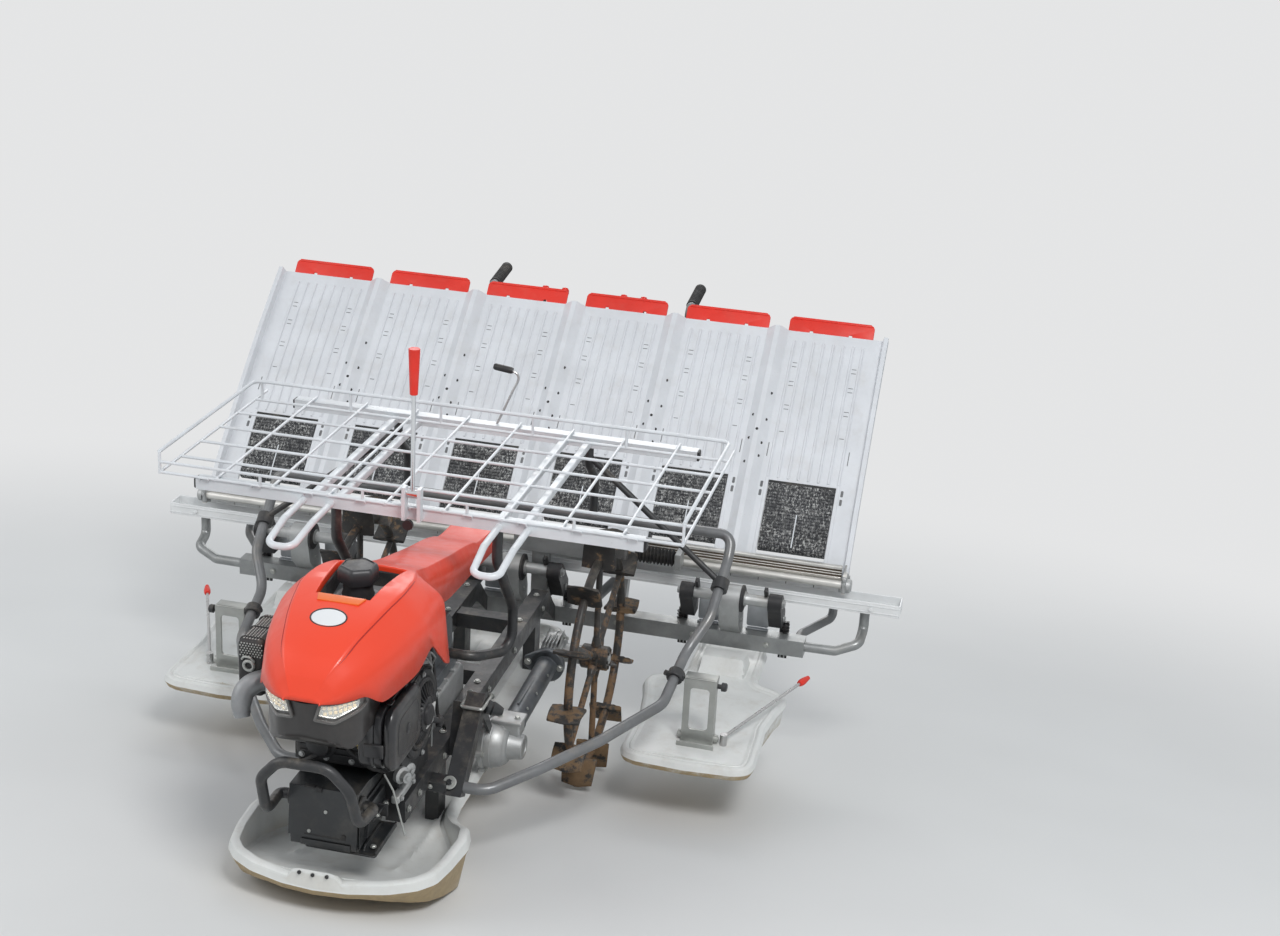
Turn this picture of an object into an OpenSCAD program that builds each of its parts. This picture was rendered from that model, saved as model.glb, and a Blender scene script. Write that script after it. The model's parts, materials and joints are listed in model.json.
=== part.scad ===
/* [Stance] */
// Radius of the lugged wheels out to the lugs' tips
wheel_r = 330; // [300:5:345]
// Height of the wheel hubs above the floats' soles, with the wheels let down
hub_z = 190; // [150:5:230]
// Distance of each wheel's middle from the centre line
track_x = 315; // [295:5:320]

/* [Wheels] */
// Radius of the round bar that makes the wheel's rim
rim_bar_r = 11; // [8:1:13]
// Radial height of each lug plate
lug_h = 62; // [45:1:70]
// Width of each lug plate across the wheel
lug_w = 86; // [60:2:92]
// Thickness of each lug plate
lug_t = 13; // [8:1:18]
// Number of lugs round one wheel
lug_n = 12; // [8:1:14]
// Number of spokes in one wheel
spoke_n = 6; // [4:1:8]
// Radius of one spoke
spoke_r = 8; // [6:1:10]
// Radius of the wheel's hub
hub_r = 34; // [28:1:40]
// Length of the wheel's hub
hub_w = 70; // [50:2:80]
// Radius of the drive shaft that carries the wheel
shaft_r = 14; // [10:1:18]

/* [Centre float] */
// Half width of the centre float's nose
nose_half_w = 252; // [230:2:270]
// Half width of the centre float between the wheels
waist_half_w = 150; // [120:5:170]
// Distance of the nose's tip ahead of the wheel hubs
nose_y = 1111; // [1100:1:1120]
// Distance of the centre float's tail behind the wheel hubs
tail_y = 400; // [300:10:440]
// Height of the centre float's rim above its sole
float_h = 70; // [50:2:90]
// Height that the rim gains at the nose's widest part
nose_rise = 82; // [60:2:90]
// Height that the rim gains again at the nose's tip
lip_rise = 30; // [15:1:40]
// Radius of the sole's upward curve at the nose
sole_r = 620; // [450:10:800]
// Length of the sole's upward curve and of the straight rise ahead of it
sole_len = 426; // [400:2:450]
// Turn of the sole's upward curve, in degrees
sole_turn = 21; // [16:1:26]
// Depth of the nose from its tip to its widest part
nose_len = 261; // [240:1:280]
// Width of the rim round each float's hollow top
rim_w = 26; // [16:1:40]
// Depth of each float's hollow top
tray_d = 30; // [15:1:40]

/* [Side floats] */
// Distance of each side float's middle from the centre line
side_x = 600; // [590:5:620]
// Half width of a side float at its front
side_half_w = 167; // [150:1:180]
// Half width of a side float at its rear
side_rear_half = 190; // [180:1:200]
// Half width of a side float's tail
side_tail_half = 96; // [80:2:110]
// Distance of a side float's front ahead of the wheel hubs
side_front_y = 245; // [230:5:260]
// Distance of a side float's tail behind the wheel hubs
side_tail_y = 470; // [400:10:500]
// Radius of a side float's front corners
side_corner_r = 45; // [30:5:60]

/* [Seedling platform] */
// Distance between neighbouring planting rows
row_pitch = 300; // [295:1:305]
// Number of planting rows
row_n = 6; // [6:2:6]
// Length of the platform down its slope
plat_len = 732; // [680:4:780]
// Slope of the platform at its middle, in degrees
plat_tilt = 44; // [40:1:50]
// Bend of the platform from its middle to each end, in degrees
plat_bend = 5; // [2:1:8]
// Thickness of the platform's sheet
plat_t = 5; // [4:1:8]
// Height of the ridges between the rows
ridge_h = 26; // [18:1:34]
// Width of a ridge at its foot
ridge_foot = 62; // [50:2:70]
// Width of a ridge at its top
ridge_top = 14; // [10:1:24]
// Height of the small ribs that the mats slide on
rib_h = 4; // [2:0.5:6]
// Width of one small rib
rib_w = 12; // [8:1:14]
// Number of small ribs in a row
rib_n = 7; // [5:1:7]
// Width of the window for the feed belt
window_w = 186; // [160:2:190]
// Length of the window for the feed belt
window_l = 215; // [180:5:230]
// Distance of the window above the platform's lower end
window_up = 38; // [30:2:60]
// Sideways travel of the platform to each side of its middle
travel = 140; // [130:1:150]
// Sideways place of the platform as it stands, from the middle
plat_offset = -28; // [-60:1:60]
// Height of the red edging strips above the platform's top
edging_h = 46; // [30:2:60]

/* [Rails] */
// Half length of the long slide rail
rail_half = 1038; // [1000:1:1045]
// Depth of the slide rail from front to back
rail_d = 62; // [50:2:70]
// Height of the slide rail's channel
rail_h = 34; // [24:1:40]
// Radius of the feed shafts
feed_r = 11; // [8:1:12]
// Distance of the slide rail's middle behind the wheel hubs
rail_y = 438; // [430:1:450]
// Height of the slide rail's top above the soles
rail_z = 262; // [250:1:270]

/* [Bonnet] */
// Half width of the bonnet at the tank
bonnet_half_w = 172; // [164:1:176]
// Distance of the bonnet's nose ahead of the wheel hubs
bonnet_nose_y = 1160; // [1155:1:1165]
// Height of the bonnet over the tank
bonnet_top_z = 722; // [715:1:730]
// Distance of the bonnet's rear end ahead of the wheel hubs
bonnet_rear_y = 40; // [30:2:60]
// Height of the bonnet's rear end
bonnet_rear_z = 523; // [518:1:530]
// Thickness of the bonnet's wall
bonnet_wall = 10; // [6:1:12]

/* [Front end] */
// Half width of the front guard loop
loop_half_w = 94; // [90:1:100]
// Distance of the front guard's bar ahead of the wheel hubs
loop_y = 1152; // [1148:1:1156]
// Height of the front guard's upper bar
loop_z = 448; // [440:1:452]
// Radius of the front guard's tube
loop_r = 13; // [10:1:15]

/* [Seedling rack] */
// Half width of the wire rack
rack_half = 611; // [580:5:620]
// Distance of the rack's front ahead of the wheel hubs
rack_front_y = 500; // [480:5:520]
// Distance of the rack's back behind the wheel hubs
rack_back_y = 40; // [20:2:60]
// Height of the rack's floor above the soles
rack_z = 746; // [720:2:770]
// Height of the rack's rims
rack_rim = 50; // [30:2:60]
// Radius of the rack's wire
wire_r = 3.5; // [2.5:0.5:5]
// Number of long wires in the rack's floor
long_wire_n = 6; // [4:1:8]
// Number of cross wires in the rack's floor
cross_wire_n = 10; // [8:1:12]

/* [Centre pole] */
// Length of the centre pole above its clip
pole_len = 335; // [280:5:360]
// Radius of the pole's rod
pole_r = 5; // [4:0.5:7]
// Length of the pole's red grip
pole_grip_len = 105; // [80:5:130]

/* [Handles] */
// Half distance between the two hand grips
handle_half = 300; // [260:5:330]
// Distance of the grips' ends behind the wheel hubs
handle_end_y = 1215; // [1180:5:1240]
// Height of the grips above the soles
handle_z = 830; // [800:5:860]
// Radius of the handle tubes
handle_r = 14; // [12:1:16]
// Length of a hand grip
grip_len = 130; // [110:5:150]

/* [Hidden] */
fn_round = 48;
fn_small = 24;
// Clearance left between pieces that touch
seat = 0.3;
// Colours of the finishes
white = "whitesmoke";
silver = "silver";
dark = [0.16, 0.16, 0.17];
grey = [0.36, 0.38, 0.39];
red = [0.92, 0.2, 0.12];

// Stance: the machine leans on its wheels and on the curve of the centre float's nose
sole_start = -nose_y + sole_len;
lean_a = -sole_start;
lean_b = hub_z - sole_r;
lean = asin((wheel_r - sole_r) / norm([lean_a, lean_b])) - atan2(lean_b, lean_a);
lift = wheel_r - hub_z * cos(lean);
nose_top_z = 604;
front_reach = -bonnet_nose_y * cos(lean) - nose_top_z * sin(lean);
handle_slope = 8;
grip_r = 17;
bend_lap = 1.2;
bend_swell = 0.2;
rear_reach = handle_end_y * cos(lean) - handle_z * sin(lean) + grip_r * sin(handle_slope + lean);
mid_y = (front_reach + rear_reach) / 2;
module park() translate([0, -mid_y, lift]) rotate([lean, 0, 0]) children();

// Points of an arc about [cx, cy]
function arc(cx, cy, r, a0, a1, n = 6) =
    [for (i = [0:n]) [cx + r * cos(a0 + (a1 - a0) * i / n), cy + r * sin(a0 + (a1 - a0) * i / n)]];
// An outline mirrored about the Y axis and joined to itself
function both_sides(pts) = concat(pts, [for (i = [len(pts) - 1:-1:0]) [-pts[i][0], pts[i][1]]]);
// A side view outline of [y, z] points carried along X
module side_prism(x0, x1, pts)
    translate([x0, 0, 0]) rotate([90, 0, 90]) linear_extrude(x1 - x0) polygon(pts);
module box_at(lo, hi) translate(lo) cube(hi - lo);
// A round bar between two points
module bar(a, b, r, fn = fn_small) {
    d = b - a;
    translate(a) rotate([0, acos(d[2] / norm(d)), atan2(d[1], d[0])]) cylinder(r = r, h = norm(d), $fn = fn);
}
function unit(v) = v / norm(v);
// Length that a bend takes from each straight stretch at point i
function bend_cut(pts, i, bend) = i <= 0 || i >= len(pts) - 1 ? 0 : let (
    turn = acos(unit(pts[i] - pts[i - 1]) * unit(pts[i + 1] - pts[i]))) bend * tan(turn / 2);
// A round tube through a list of points, with a true round bend at each of them. The bends are a
// hair thicker than the straights, which run a little way into them.
module tube(pts, r, bend = 40, fn = fn_small) {
    last = len(pts) - 2;
    for (i = [0:last]) let (d = unit(pts[i + 1] - pts[i]))
        bar(pts[i] + d * (bend_cut(pts, i, bend) - (i > 0 ? bend_lap : 0)),
            pts[i + 1] - d * (bend_cut(pts, i + 1, bend) - (i < last ? bend_lap : 0)), r, fn);
    for (i = [1:1:last]) let (
        d0 = unit(pts[i] - pts[i - 1]),
        d1 = unit(pts[i + 1] - pts[i]),
        turn = acos(d0 * d1),
        axis = unit(cross(d0, d1)),
        out = cross(d0, axis),
        start = pts[i] - d0 * bend_cut(pts, i, bend),
        mid = start - out * bend)
        translate(mid) rotate(euler(out, d0, axis))
            rotate_extrude(angle = turn, $fn = fn_round) translate([bend, 0]) circle(r = r + bend_swell, $fn = fn);
}
// Turns that carry the X, Y and Z axes onto three square directions
function euler(x, y, z) = [atan2(y[2], z[2]), asin(-x[2]), atan2(x[1], x[0])];
module both() { children(); mirror([1, 0, 0]) children(); }
function flip(pts) = [for (p = pts) [-p[0], p[1], p[2]]];

// Floats
// The centre float's outline, drawn in by d
function centre_outline(d) = both_sides([
    [0, -nose_y + d], [70, -nose_y + 8 + d], [150, -nose_y + 34 + d], [200 - d * 0.5, -nose_y + 68 + d],
    [nose_half_w - 32 - d, -nose_y + 98 + d * 0.6], [nose_half_w - 10 - d, -nose_y + nose_len - 90],
    [nose_half_w - d, -nose_y + nose_len], [nose_half_w - 12 - d, -nose_y + nose_len + 60],
    [waist_half_w + 30 - d, -nose_y + nose_len + 170], [waist_half_w + 6 - d, -nose_y + nose_len + 215],
    [waist_half_w - d, -nose_y + nose_len + 270], [waist_half_w - d, tail_y - 60],
    [waist_half_w - 18 - d * 0.7, tail_y - 18 - d * 0.7], [waist_half_w - 60, tail_y - d]]);
sole_tip = sole_r * (1 - cos(sole_turn)) + (sole_len + 30 - sole_r * sin(sole_turn)) * tan(sole_turn);
// Side view of the centre float: the sole, curved up and then straight to the nose, and the rim's line
function float_side(low, high) = concat([[tail_y + 20, low], [sole_start, low]],
    [for (i = [1:7]) let (a = -90 - sole_turn * i / 7)
        [sole_start + sole_r * cos(a), low + sole_r + sole_r * sin(a)]],
    [[-nose_y - 30, low + sole_tip], [-nose_y - 30, high + nose_rise + lip_rise],
     [-nose_y + 10, high + nose_rise + lip_rise], [-nose_y + 90, high + nose_rise],
     [-nose_y + nose_len + 20, high + nose_rise - 6], [-nose_y + nose_len + 190, high + 6],
     [-nose_y + nose_len + 260, high], [tail_y + 20, high]]);
module shell(outline, side) intersection() {
    linear_extrude(320) polygon(outline);
    side_prism(-400, 400, side);
}
module centre_float() park() color(white) difference() {
    shell(centre_outline(0), float_side(0, float_h));
    shell(centre_outline(rim_w), float_side(float_h - tray_d, 200));
}
function side_outline(d) = both_sides(concat(
    [[0, -side_front_y - 8 + d]],
    arc(side_half_w - side_corner_r, -side_front_y + side_corner_r, side_corner_r - d, -90, 0),
    [[side_half_w - 2 - d, -70], [side_half_w - 5 - d, -10], [side_rear_half - 10 - d, 100]],
    arc(side_rear_half - 40, 160, 40 - d, 0, 80),
    [[side_tail_half + 36, 214 - d], [side_tail_half + 8 - d * 0.8, 232 - d * 0.4], [side_tail_half - d, 262],
     [side_tail_half - d, side_tail_y - 50]],
    arc(side_tail_half - 50, side_tail_y - 50, 50 - d, 0, 90)));
side_sole_r = 900;
side_sole_turn = 22;
side_sole = concat([[side_tail_y + 20, 0], [60, 0]],
    [for (i = [1:6]) let (a = -90 - side_sole_turn * i / 6)
        [60 + side_sole_r * cos(a), side_sole_r + side_sole_r * sin(a)]],
    [[60 - side_sole_r * sin(side_sole_turn), 300], [side_tail_y + 20, 300]]);
hump_y = 258;
hump_l = 62;
hump_h = 42;
module side_float() difference() {
    union() {
        intersection() {
            linear_extrude(float_h) polygon(side_outline(0));
            side_prism(-400, 400, side_sole);
        }
        side_prism(-58, 58, [[hump_y - 14, float_h - 10], [hump_y + 6, float_h + hump_h],
            [hump_y + hump_l - 6, float_h + hump_h], [hump_y + hump_l + 14, float_h - 10]]);
    }
    translate([0, 0, float_h - 5]) linear_extrude(10) difference() {
        polygon(side_outline(rim_w));
        translate([-90, hump_y - 40]) square([180, hump_l + 80]);
    }
}
module side_float_left() park() color(white) translate([side_x, 0, 0]) side_float();
module side_float_right() park() color(white) translate([-side_x, 0, 0]) side_float();

// Frame, engine and drive
beam_x = 96;
beam_half = 22;
beam_top = 230;
beam_low = 180;
pivot_y = -410;
pivot_z = 137;
beam_front = 880;
bar_y = 340;
bar_d = 45;
bar_low = 105;
bar_top = 150;
tray_z = float_h - tray_d;
module main_frame() park() color(dark) {
    both() side_prism(beam_x - beam_half, beam_x + beam_half, [[-beam_front, beam_low], [-beam_front, beam_top],
        [260, beam_top], [bar_y - seat, bar_top], [bar_y - seat, bar_low], [240, beam_low]]);
    box_at([-beam_x, -beam_front, beam_low + 16], [beam_x, -650, beam_top - 16]);
    for (y = [-240, 60]) box_at([-beam_x, y, beam_low + 5], [beam_x, y + 40, beam_top - 5]);
    both() for (y = [-632, 160]) box_at([beam_x - 16, y, tray_z + seat], [beam_x + 16, y + 50, beam_low]);
}
box_front = 1056;
box_half = 75;
box_top = 335;
box_low = 200;
module engine_box() park() color(dark) {
    difference() {
        side_prism(-box_half, box_half, [[-box_front, box_low], [-box_front, box_top - 8],
            [-box_front + 22, box_top], [-beam_front - seat, box_top], [-beam_front - seat, box_low]]);
        for (x = [-46, 26]) box_at([x, -box_front - 5, box_low + 66], [x + 20, -box_front + 8, box_low + 90]);
        box_at([-40, -box_front - 5, box_low + 16], [40, -box_front + 8, box_low + 24]);
    }
    box_at([-box_half + 30, -box_front + 14, box_low - 12], [box_half + 36, -beam_front - 24, box_low]);
}
spine_ceil = 586;
tank_ceil = 660;
neck_y = -850;
neck_floor = 672;
engine_half = 104;
engine_low = beam_top + seat;
engine_top = 552;
engine_front = 944;
engine_back = 690;
fin_n = 7;
module engine() park() color(grey) {
    box_at([-engine_half, -engine_front, box_top + seat], [engine_half, -engine_back, 470]);
    box_at([-engine_half, -beam_front, engine_low], [engine_half, -engine_back, box_top + 1]);
    // Cylinder with its cooling fins, and the fuel tank above
    box_at([-88, -engine_front + 8, 469], [88, -engine_back - 8, engine_top]);
    for (i = [0:fin_n - 1]) box_at([-engine_half, -engine_front, 478 + 10 * i], [engine_half, -engine_back, 482 + 10 * i]);
    box_at([-82, -930, engine_top - 1], [82, -766, tank_ceil - seat]);
}
module recoil_starter() park() color(dark) translate([engine_half + seat, -783, 392]) rotate([0, 90, 0]) difference() {
    union() {
        cylinder(r = 74, h = 14, $fn = fn_round);
        translate([0, 0, 13]) cylinder(r1 = 70, r2 = 56, h = 16, $fn = fn_round);
        translate([0, 0, 28]) cylinder(r = 22, h = 8, $fn = fn_small);
    }
    // Cooling slots round the starter's hub
    for (i = [0:11]) rotate([0, 0, 30 * i]) translate([30, -3, 20]) cube([20, 6, 20]);
}
module air_cleaner() park() color(dark) side_prism(engine_half + seat, 150, concat(
    arc(-1008, 426, 38, 180, 270, 5), arc(-900, 426, 38, 270, 360, 5), arc(-900, 507, 38, 0, 90, 5),
    arc(-1008, 507, 38, 90, 180, 5)));
module muffler() park() color(dark) difference() {
    union() {
        side_prism(-240, -180, [[-925, 468], [-925, 566], [-900, 580], [-810, 580], [-785, 562], [-785, 468],
            [-810, 450], [-900, 450]]);
        box_at([-181, -880, 452], [-engine_half - seat, -830, 468]);
    }
    for (i = [0:3], j = [0:2]) translate([-243, -905 + 32 * i, 484 + 32 * j]) rotate([0, 90, 0])
        cylinder(r = 9, h = 12, $fn = 13);
    translate([-210, -930, 516]) rotate([-90, 0, 0]) cylinder(r = 13, h = 40, $fn = fn_small);
}
module cooling_duct() park() color("darkgray")
    tube([[-engine_half - seat, -920, 420], [-142, -920, 420], [-168, -972, 452], [-196, -1000, 462],
        [-202, -1006, 400]], 21, 26);
// Sections of the bonnet: y, half width, foot, shoulder's half width and height, crease's half width, top, ceiling
bonnet_sections = [
    [-bonnet_nose_y, 40, 590, 38, 597, 24, nose_top_z, 594],
    [-1144, 70, 589, 62, 612, 40, 634, 600],
    [-1105, 104, 594, 92, 634, 60, 668, 640],
    [-1052, 131, 562, 120, 648, 74, 692, tank_ceil],
    [-1000, 148, 568, 136, 658, 86, 706, tank_ceil],
    [-940, 162, 576, 148, 668, 98, 717, tank_ceil],
    [-877, bonnet_half_w - 2, 606, 156, 672, 106, bonnet_top_z, tank_ceil],
    [-820, bonnet_half_w, 560, 158, 670, 104, bonnet_top_z - 2, tank_ceil],
    [-757, bonnet_half_w, 512, 156, 664, 90, 710, tank_ceil],
    [-728, 140, 560, 126, 640, 80, 700, tank_ceil],
    [-660, 92, 570, 84, 630, 66, 672, 648],
    [-586, 76, 552, 68, 620, 52, 644, 622],
    [-470, 74, 520, 64, 592, 48, 615, spine_ceil],
    [-410, 73, 514, 63, 578, 48, 600, spine_ceil],
    [-200, 66, 492, 60, 530, 46, 548, 534],
    [-186, 66, 490, 60, 524, 44, 541, 528],
    [-bonnet_rear_y, 64, bonnet_rear_z - 46, 56, bonnet_rear_z - 14, 44, bonnet_rear_z, bonnet_rear_z - 12]];
function bonnet_half(s) = [[s[1], s[2]], [s[3], s[4]], [s[5], s[6] - 5], [s[5] * 0.5, s[6]]];
function bonnet_inside(s) = [[s[1] - bonnet_wall, s[2]], [s[3] - bonnet_wall, min(s[4], s[7]) - 2], [s[5] - 8, s[7]], [s[5] * 0.5 - 4, s[7]]];
function ring_of(half, inside) = concat(half, [for (i = [len(half) - 1:-1:0]) [-half[i][0], half[i][1]]],
    [for (p = inside) [-p[0], p[1]]], [for (i = [len(inside) - 1:-1:0]) inside[i]]);
// A solid through rings of points. Each ring goes out and comes back, so that its first half faces its last
module loft(rings) {
    n = len(rings[0]);
    m = len(rings);
    polyhedron(
        points = [for (r = rings) each r],
        faces = concat([for (i = [0:n / 2 - 2]) [i, i + 1, n - 2 - i, n - 1 - i]],
            [for (j = [0:m - 2], i = [0:n - 1]) [j * n + i, (j + 1) * n + i, (j + 1) * n + (i + 1) % n]],
            [for (j = [0:m - 2], i = [0:n - 1]) [j * n + i, (j + 1) * n + (i + 1) % n, j * n + (i + 1) % n]],
            [for (i = [0:n / 2 - 2]) [n - 1 - i, n - 2 - i, i + 1, i] + (m - 1) * n * [1, 1, 1, 1]]));
}
module bonnet() park() color(red) difference() {
    loft([for (s = bonnet_sections) [for (p = ring_of(bonnet_half(s), bonnet_inside(s))) [p[0], s[0], p[1]]]]);
    // Opening round the tank's neck
    translate([0, 0, neck_floor]) linear_extrude(60) polygon([[-59, -939], [59, -939], [76, -762], [56, -748],
        [-56, -748], [-76, -762]]);
}
mask_half = engine_half;
mask_low = 474;
mask_top = 587;
mask_back = -1000;
// Outline of the lamp mask from above, drawn in by d
function mask_outline(d) = both_sides([[0, -1154 + d], [58, -1139 + d], [mask_half - 8 - d, -1100 + d],
    [mask_half - d, -1062], [mask_half - d, mask_back]]);
// Outline of a lamp from the front, drawn in by d
function lamp_view(d) = [[28 + d, 560 + d], [38 + d, 584 - d], [94 - d, 584 - d], [94 - d, 566 + d], [62, 556 + d]];
module lamp_shape(d) intersection() {
    linear_extrude(700) difference() {
        polygon(mask_outline(0));
        polygon(mask_outline(11 - d));
    }
    translate([0, -1080, 0]) rotate([90, 0, 0]) linear_extrude(100) polygon(lamp_view(d));
}
module lamp_mask() park() color(dark) {
    difference() {
        intersection() {
            linear_extrude(700) polygon(mask_outline(0));
            side_prism(-200, 200, [[-1170, 548], [-1170, mask_top], [mask_back, mask_top], [mask_back, mask_low + 26],
                [-1064, mask_low + 20], [-1112, mask_low], [-1140, mask_low + 24]]);
        }
        both() lamp_shape(0);
    }
    side_prism(-50, 50, [[mask_back - 1, 510], [mask_back - 1, 560], [-engine_front - seat, 545],
        [-engine_front - seat, 510]]);
}
module headlamps() park() color("lightcyan") both() lamp_shape(seat);
module fuel_cap() park() color(dark) translate([0, neck_y, neck_floor + seat]) {
    cylinder(r = 57, h = 10, $fn = fn_round);
    cylinder(r = 33, h = 56, $fn = fn_round);
    translate([0, 0, 50]) cylinder(r = 43, h = 40, $fn = 6);
}
module front_guard() park() color(dark) {
    half = [[box_half + seat, -1026, 298], [loop_half_w + 10, -1026, 298], [loop_half_w + 4, -1110, 303],
        [loop_half_w, -loop_y + 8, loop_z - 44], [loop_half_w - 34, -loop_y, loop_z]];
    tube(concat(half, [for (i = [4:-1:0]) [-half[i][0], half[i][1], half[i][2]]]), loop_r, 24);
}
case_half = beam_x - beam_half - seat;
case_back = -330;
case_front = -545;
pivot_half = 150;
module transmission() park() color(silver) {
    box_at([-case_half, case_front, pivot_z], [case_half, case_back, 430]);
    translate([-pivot_half, pivot_y, pivot_z]) rotate([0, 90, 0])
        cylinder(r = 38, h = 2 * pivot_half, $fn = fn_round);
    box_at([-38, -466, 429], [38, -414, spine_ceil - seat]);
}
arm_x = 208;
arm_y = -400;
module axle_case() {
    // Bell on the pivot: flange, dome and stub
    translate([pivot_half + seat, pivot_y, pivot_z]) rotate([0, 90, 0]) {
        cylinder(r = 60, h = 12, $fn = fn_round);
        translate([0, 0, 11]) cylinder(r1 = 54, r2 = 34, h = 50, $fn = fn_round);
        translate([0, 0, 60]) cylinder(r = 26, h = 24, $fn = fn_round);
    }
    // Clamp on the bell's top, with the dark tube back to the flange
    box_at([arm_x - 36, arm_y - 20, pivot_z + 20], [arm_x + 30, arm_y + 30, pivot_z + 66]);
    bar([arm_x, arm_y + 10, pivot_z + 36], [arm_x, -60, hub_z - 6], 27, fn_round);
    translate([arm_x, -76, hub_z - 6]) rotate([-90, 0, 0]) cylinder(r = 44, h = 20, $fn = fn_round);
    // Gear housing round the wheel's shaft
    translate([arm_x - 22, 0, hub_z]) rotate([0, 90, 0]) cylinder(r = 48, h = 44, $fn = fn_round);
    side_prism(arm_x - 20, arm_x + 20, [[-60, hub_z - 46], [-60, hub_z + 34], [-10, hub_z + 46], [10, hub_z - 44]]);
    translate([arm_x, 0, hub_z]) rotate([0, 90, 0])
        cylinder(r = 24, h = track_x - hub_w / 2 - seat - arm_x, $fn = fn_round);
    translate([arm_x, 0, hub_z]) rotate([0, 90, 0])
        cylinder(r = shaft_r, h = track_x + hub_w / 2 + 8 - arm_x, $fn = fn_small);
}
module axle_case_left() park() color(silver) axle_case();
module axle_case_right() park() color(silver) mirror([1, 0, 0]) axle_case();
strut_x = 150;
strut_w = 42;
module frame_struts() park() color(dark) both() {
    side_prism(strut_x, strut_x + strut_w, [[-724, 168], [-690, 152], [-520, 322], [-552, 340]]);
    box_at([beam_x + beam_half + seat, -722, 170], [strut_x + 1, -680, 194]);
    side_prism(beam_x + beam_half + seat, strut_x + 1, [[-590, beam_low + 10], [-540, beam_low + 10],
        [-528, 300], [-556, 312]]);
}

// Wheels
module wheel(side) {
    translate([side * track_x, 0, hub_z]) rotate([0, 90, 0]) difference() {
        union() {
            translate([0, 0, -hub_w / 2]) cylinder(r = hub_r, h = hub_w, $fn = fn_round);
            rotate_extrude($fn = fn_round) translate([wheel_r - lug_h, 0]) circle(r = rim_bar_r, $fn = fn_small);
            for (i = [0:spoke_n - 1]) rotate([0, 0, i * 360 / spoke_n])
                rotate([0, 90, 0]) cylinder(r = spoke_r, h = wheel_r - lug_h, $fn = fn_small);
        }
        translate([0, 0, -hub_w]) cylinder(r = shaft_r + seat, h = 2 * hub_w, $fn = fn_small);
    }
}
module lugs(side) {
    translate([side * track_x, 0, hub_z]) rotate([0, 90, 0]) difference() {
        for (i = [0:lug_n - 1]) rotate([0, 0, i * 360 / lug_n - lean])
            translate([wheel_r - lug_h, -lug_t / 2, -lug_w / 2]) cube([lug_h, lug_t, lug_w]);
        rotate_extrude($fn = fn_round) translate([wheel_r - lug_h, 0]) circle(r = rim_bar_r + seat, $fn = fn_small);
    }
}
module wheel_left() park() color(grey) wheel(1);
module wheel_right() park() color(grey) wheel(-1);
module lugs_left() park() color(dark) lugs(1);
module lugs_right() park() color(dark) lugs(-1);

// Guards and brackets
guard_r = 13;
guard_up_x = 612;
cross_y = 176;
cross_z = 498;
clamp_a = [540, -235, 214];
clamp_b = [556, -60, 272];
rise_a = [600, 0, 345];
rise_b = [guard_up_x, 140, 447];
guard_path = [[strut_x + strut_w + seat, -698, 180], [244, -698, 180], [330, -600, 194], [437, -442, 205], clamp_a,
    clamp_b, rise_a, rise_b, [guard_up_x, cross_y, cross_z], [seat / 2, cross_y, cross_z]];
module side_guards() park() color(grey) {
    tube(guard_path, guard_r);
    tube(flip(guard_path), guard_r);
}
// A bored collar on the stretch of tube from a to b, at share t of it
module collar(a, b, t, bore, wall, h) {
    d = unit(b - a);
    translate(a + (b - a) * t - d * h / 2) rotate([0, acos(d[2]), atan2(d[1], d[0])]) difference() {
        cylinder(r = bore + seat + wall, h = h, $fn = fn_round);
        translate([0, 0, -1]) cylinder(r = bore + seat, h = h + 2, $fn = fn_round);
    }
}
bracket_x = 612;
bracket_y = -140;
bracket_half = 40;
bracket_top = 246;
module float_brackets() park() color(grey) both() {
    translate([bracket_x, bracket_y, 0]) {
        difference() {
            box_at([-bracket_half, -5, float_h - 5 + seat], [bracket_half, 5, bracket_top]);
            box_at([-24, -10, 108], [24, 10, bracket_top - 26]);
        }
        box_at([-bracket_half, -28, float_h - 5 + seat], [bracket_half, 46, float_h + 1]);
        box_at([-bracket_half, -5, bracket_top - 6], [bracket_half, 34, bracket_top]);
        for (x = [-bracket_half, bracket_half - 6]) side_prism(x, x + 6, [[4, float_h], [4, bracket_top - 1],
            [34, bracket_top - 1], [18, bracket_top - 40], [18, float_h + 30], [40, float_h]]);
    }
    // Clamp that holds the guard tube
    collar(clamp_a, clamp_b, 0.54, guard_r, 7, 26);
    box_at([clamp_a[0] + 24, bracket_y - 5, bracket_top - 20], [bracket_x - bracket_half + 1, bracket_y + 5, bracket_top]);
}

// Planting section
shaft_y = 318;
shaft_z = 262;
post_x = 290;
rail_front = rail_y - rail_d / 2;
module planting_beam() park() color(grey) {
    box_at([-800, bar_y, bar_low], [800, bar_y + bar_d, bar_top]);
    both() tube([[780, bar_y + 22, 128], [880, bar_y + 24, 128], [940, bar_y + 40, 150],
        [944, rail_y, rail_z - rail_h - 60], [944, rail_y, rail_z - rail_h - seat]], guard_r, 24);
    both() side_prism(post_x - 10, post_x + 10, [[bar_y + bar_d - 1, bar_low], [bar_y + bar_d - 1, bar_top],
        [rail_front + 4, rail_z - rail_h - seat], [rail_front + 40, rail_z - rail_h - seat],
        [bar_y + bar_d + 20, bar_low]]);
}
case_x = [600, 0, -600];
module planting_case(x) translate([x, 0, 0]) {
    side_prism(-27, 27, concat([[bar_y + bar_d - 2, bar_top + seat]], [[bar_y + bar_d - 2, bar_top + 30]],
        arc(shaft_y, shaft_z, 34, 20, 200, 8), [[bar_y - 40, bar_top + 40], [bar_y, bar_top + seat]]));
    translate([-100, shaft_y, shaft_z]) rotate([0, 90, 0]) cylinder(r = 15, h = 200, $fn = fn_round);
}
module planting_cases() park() color(silver) for (x = case_x) planting_case(x);
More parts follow.
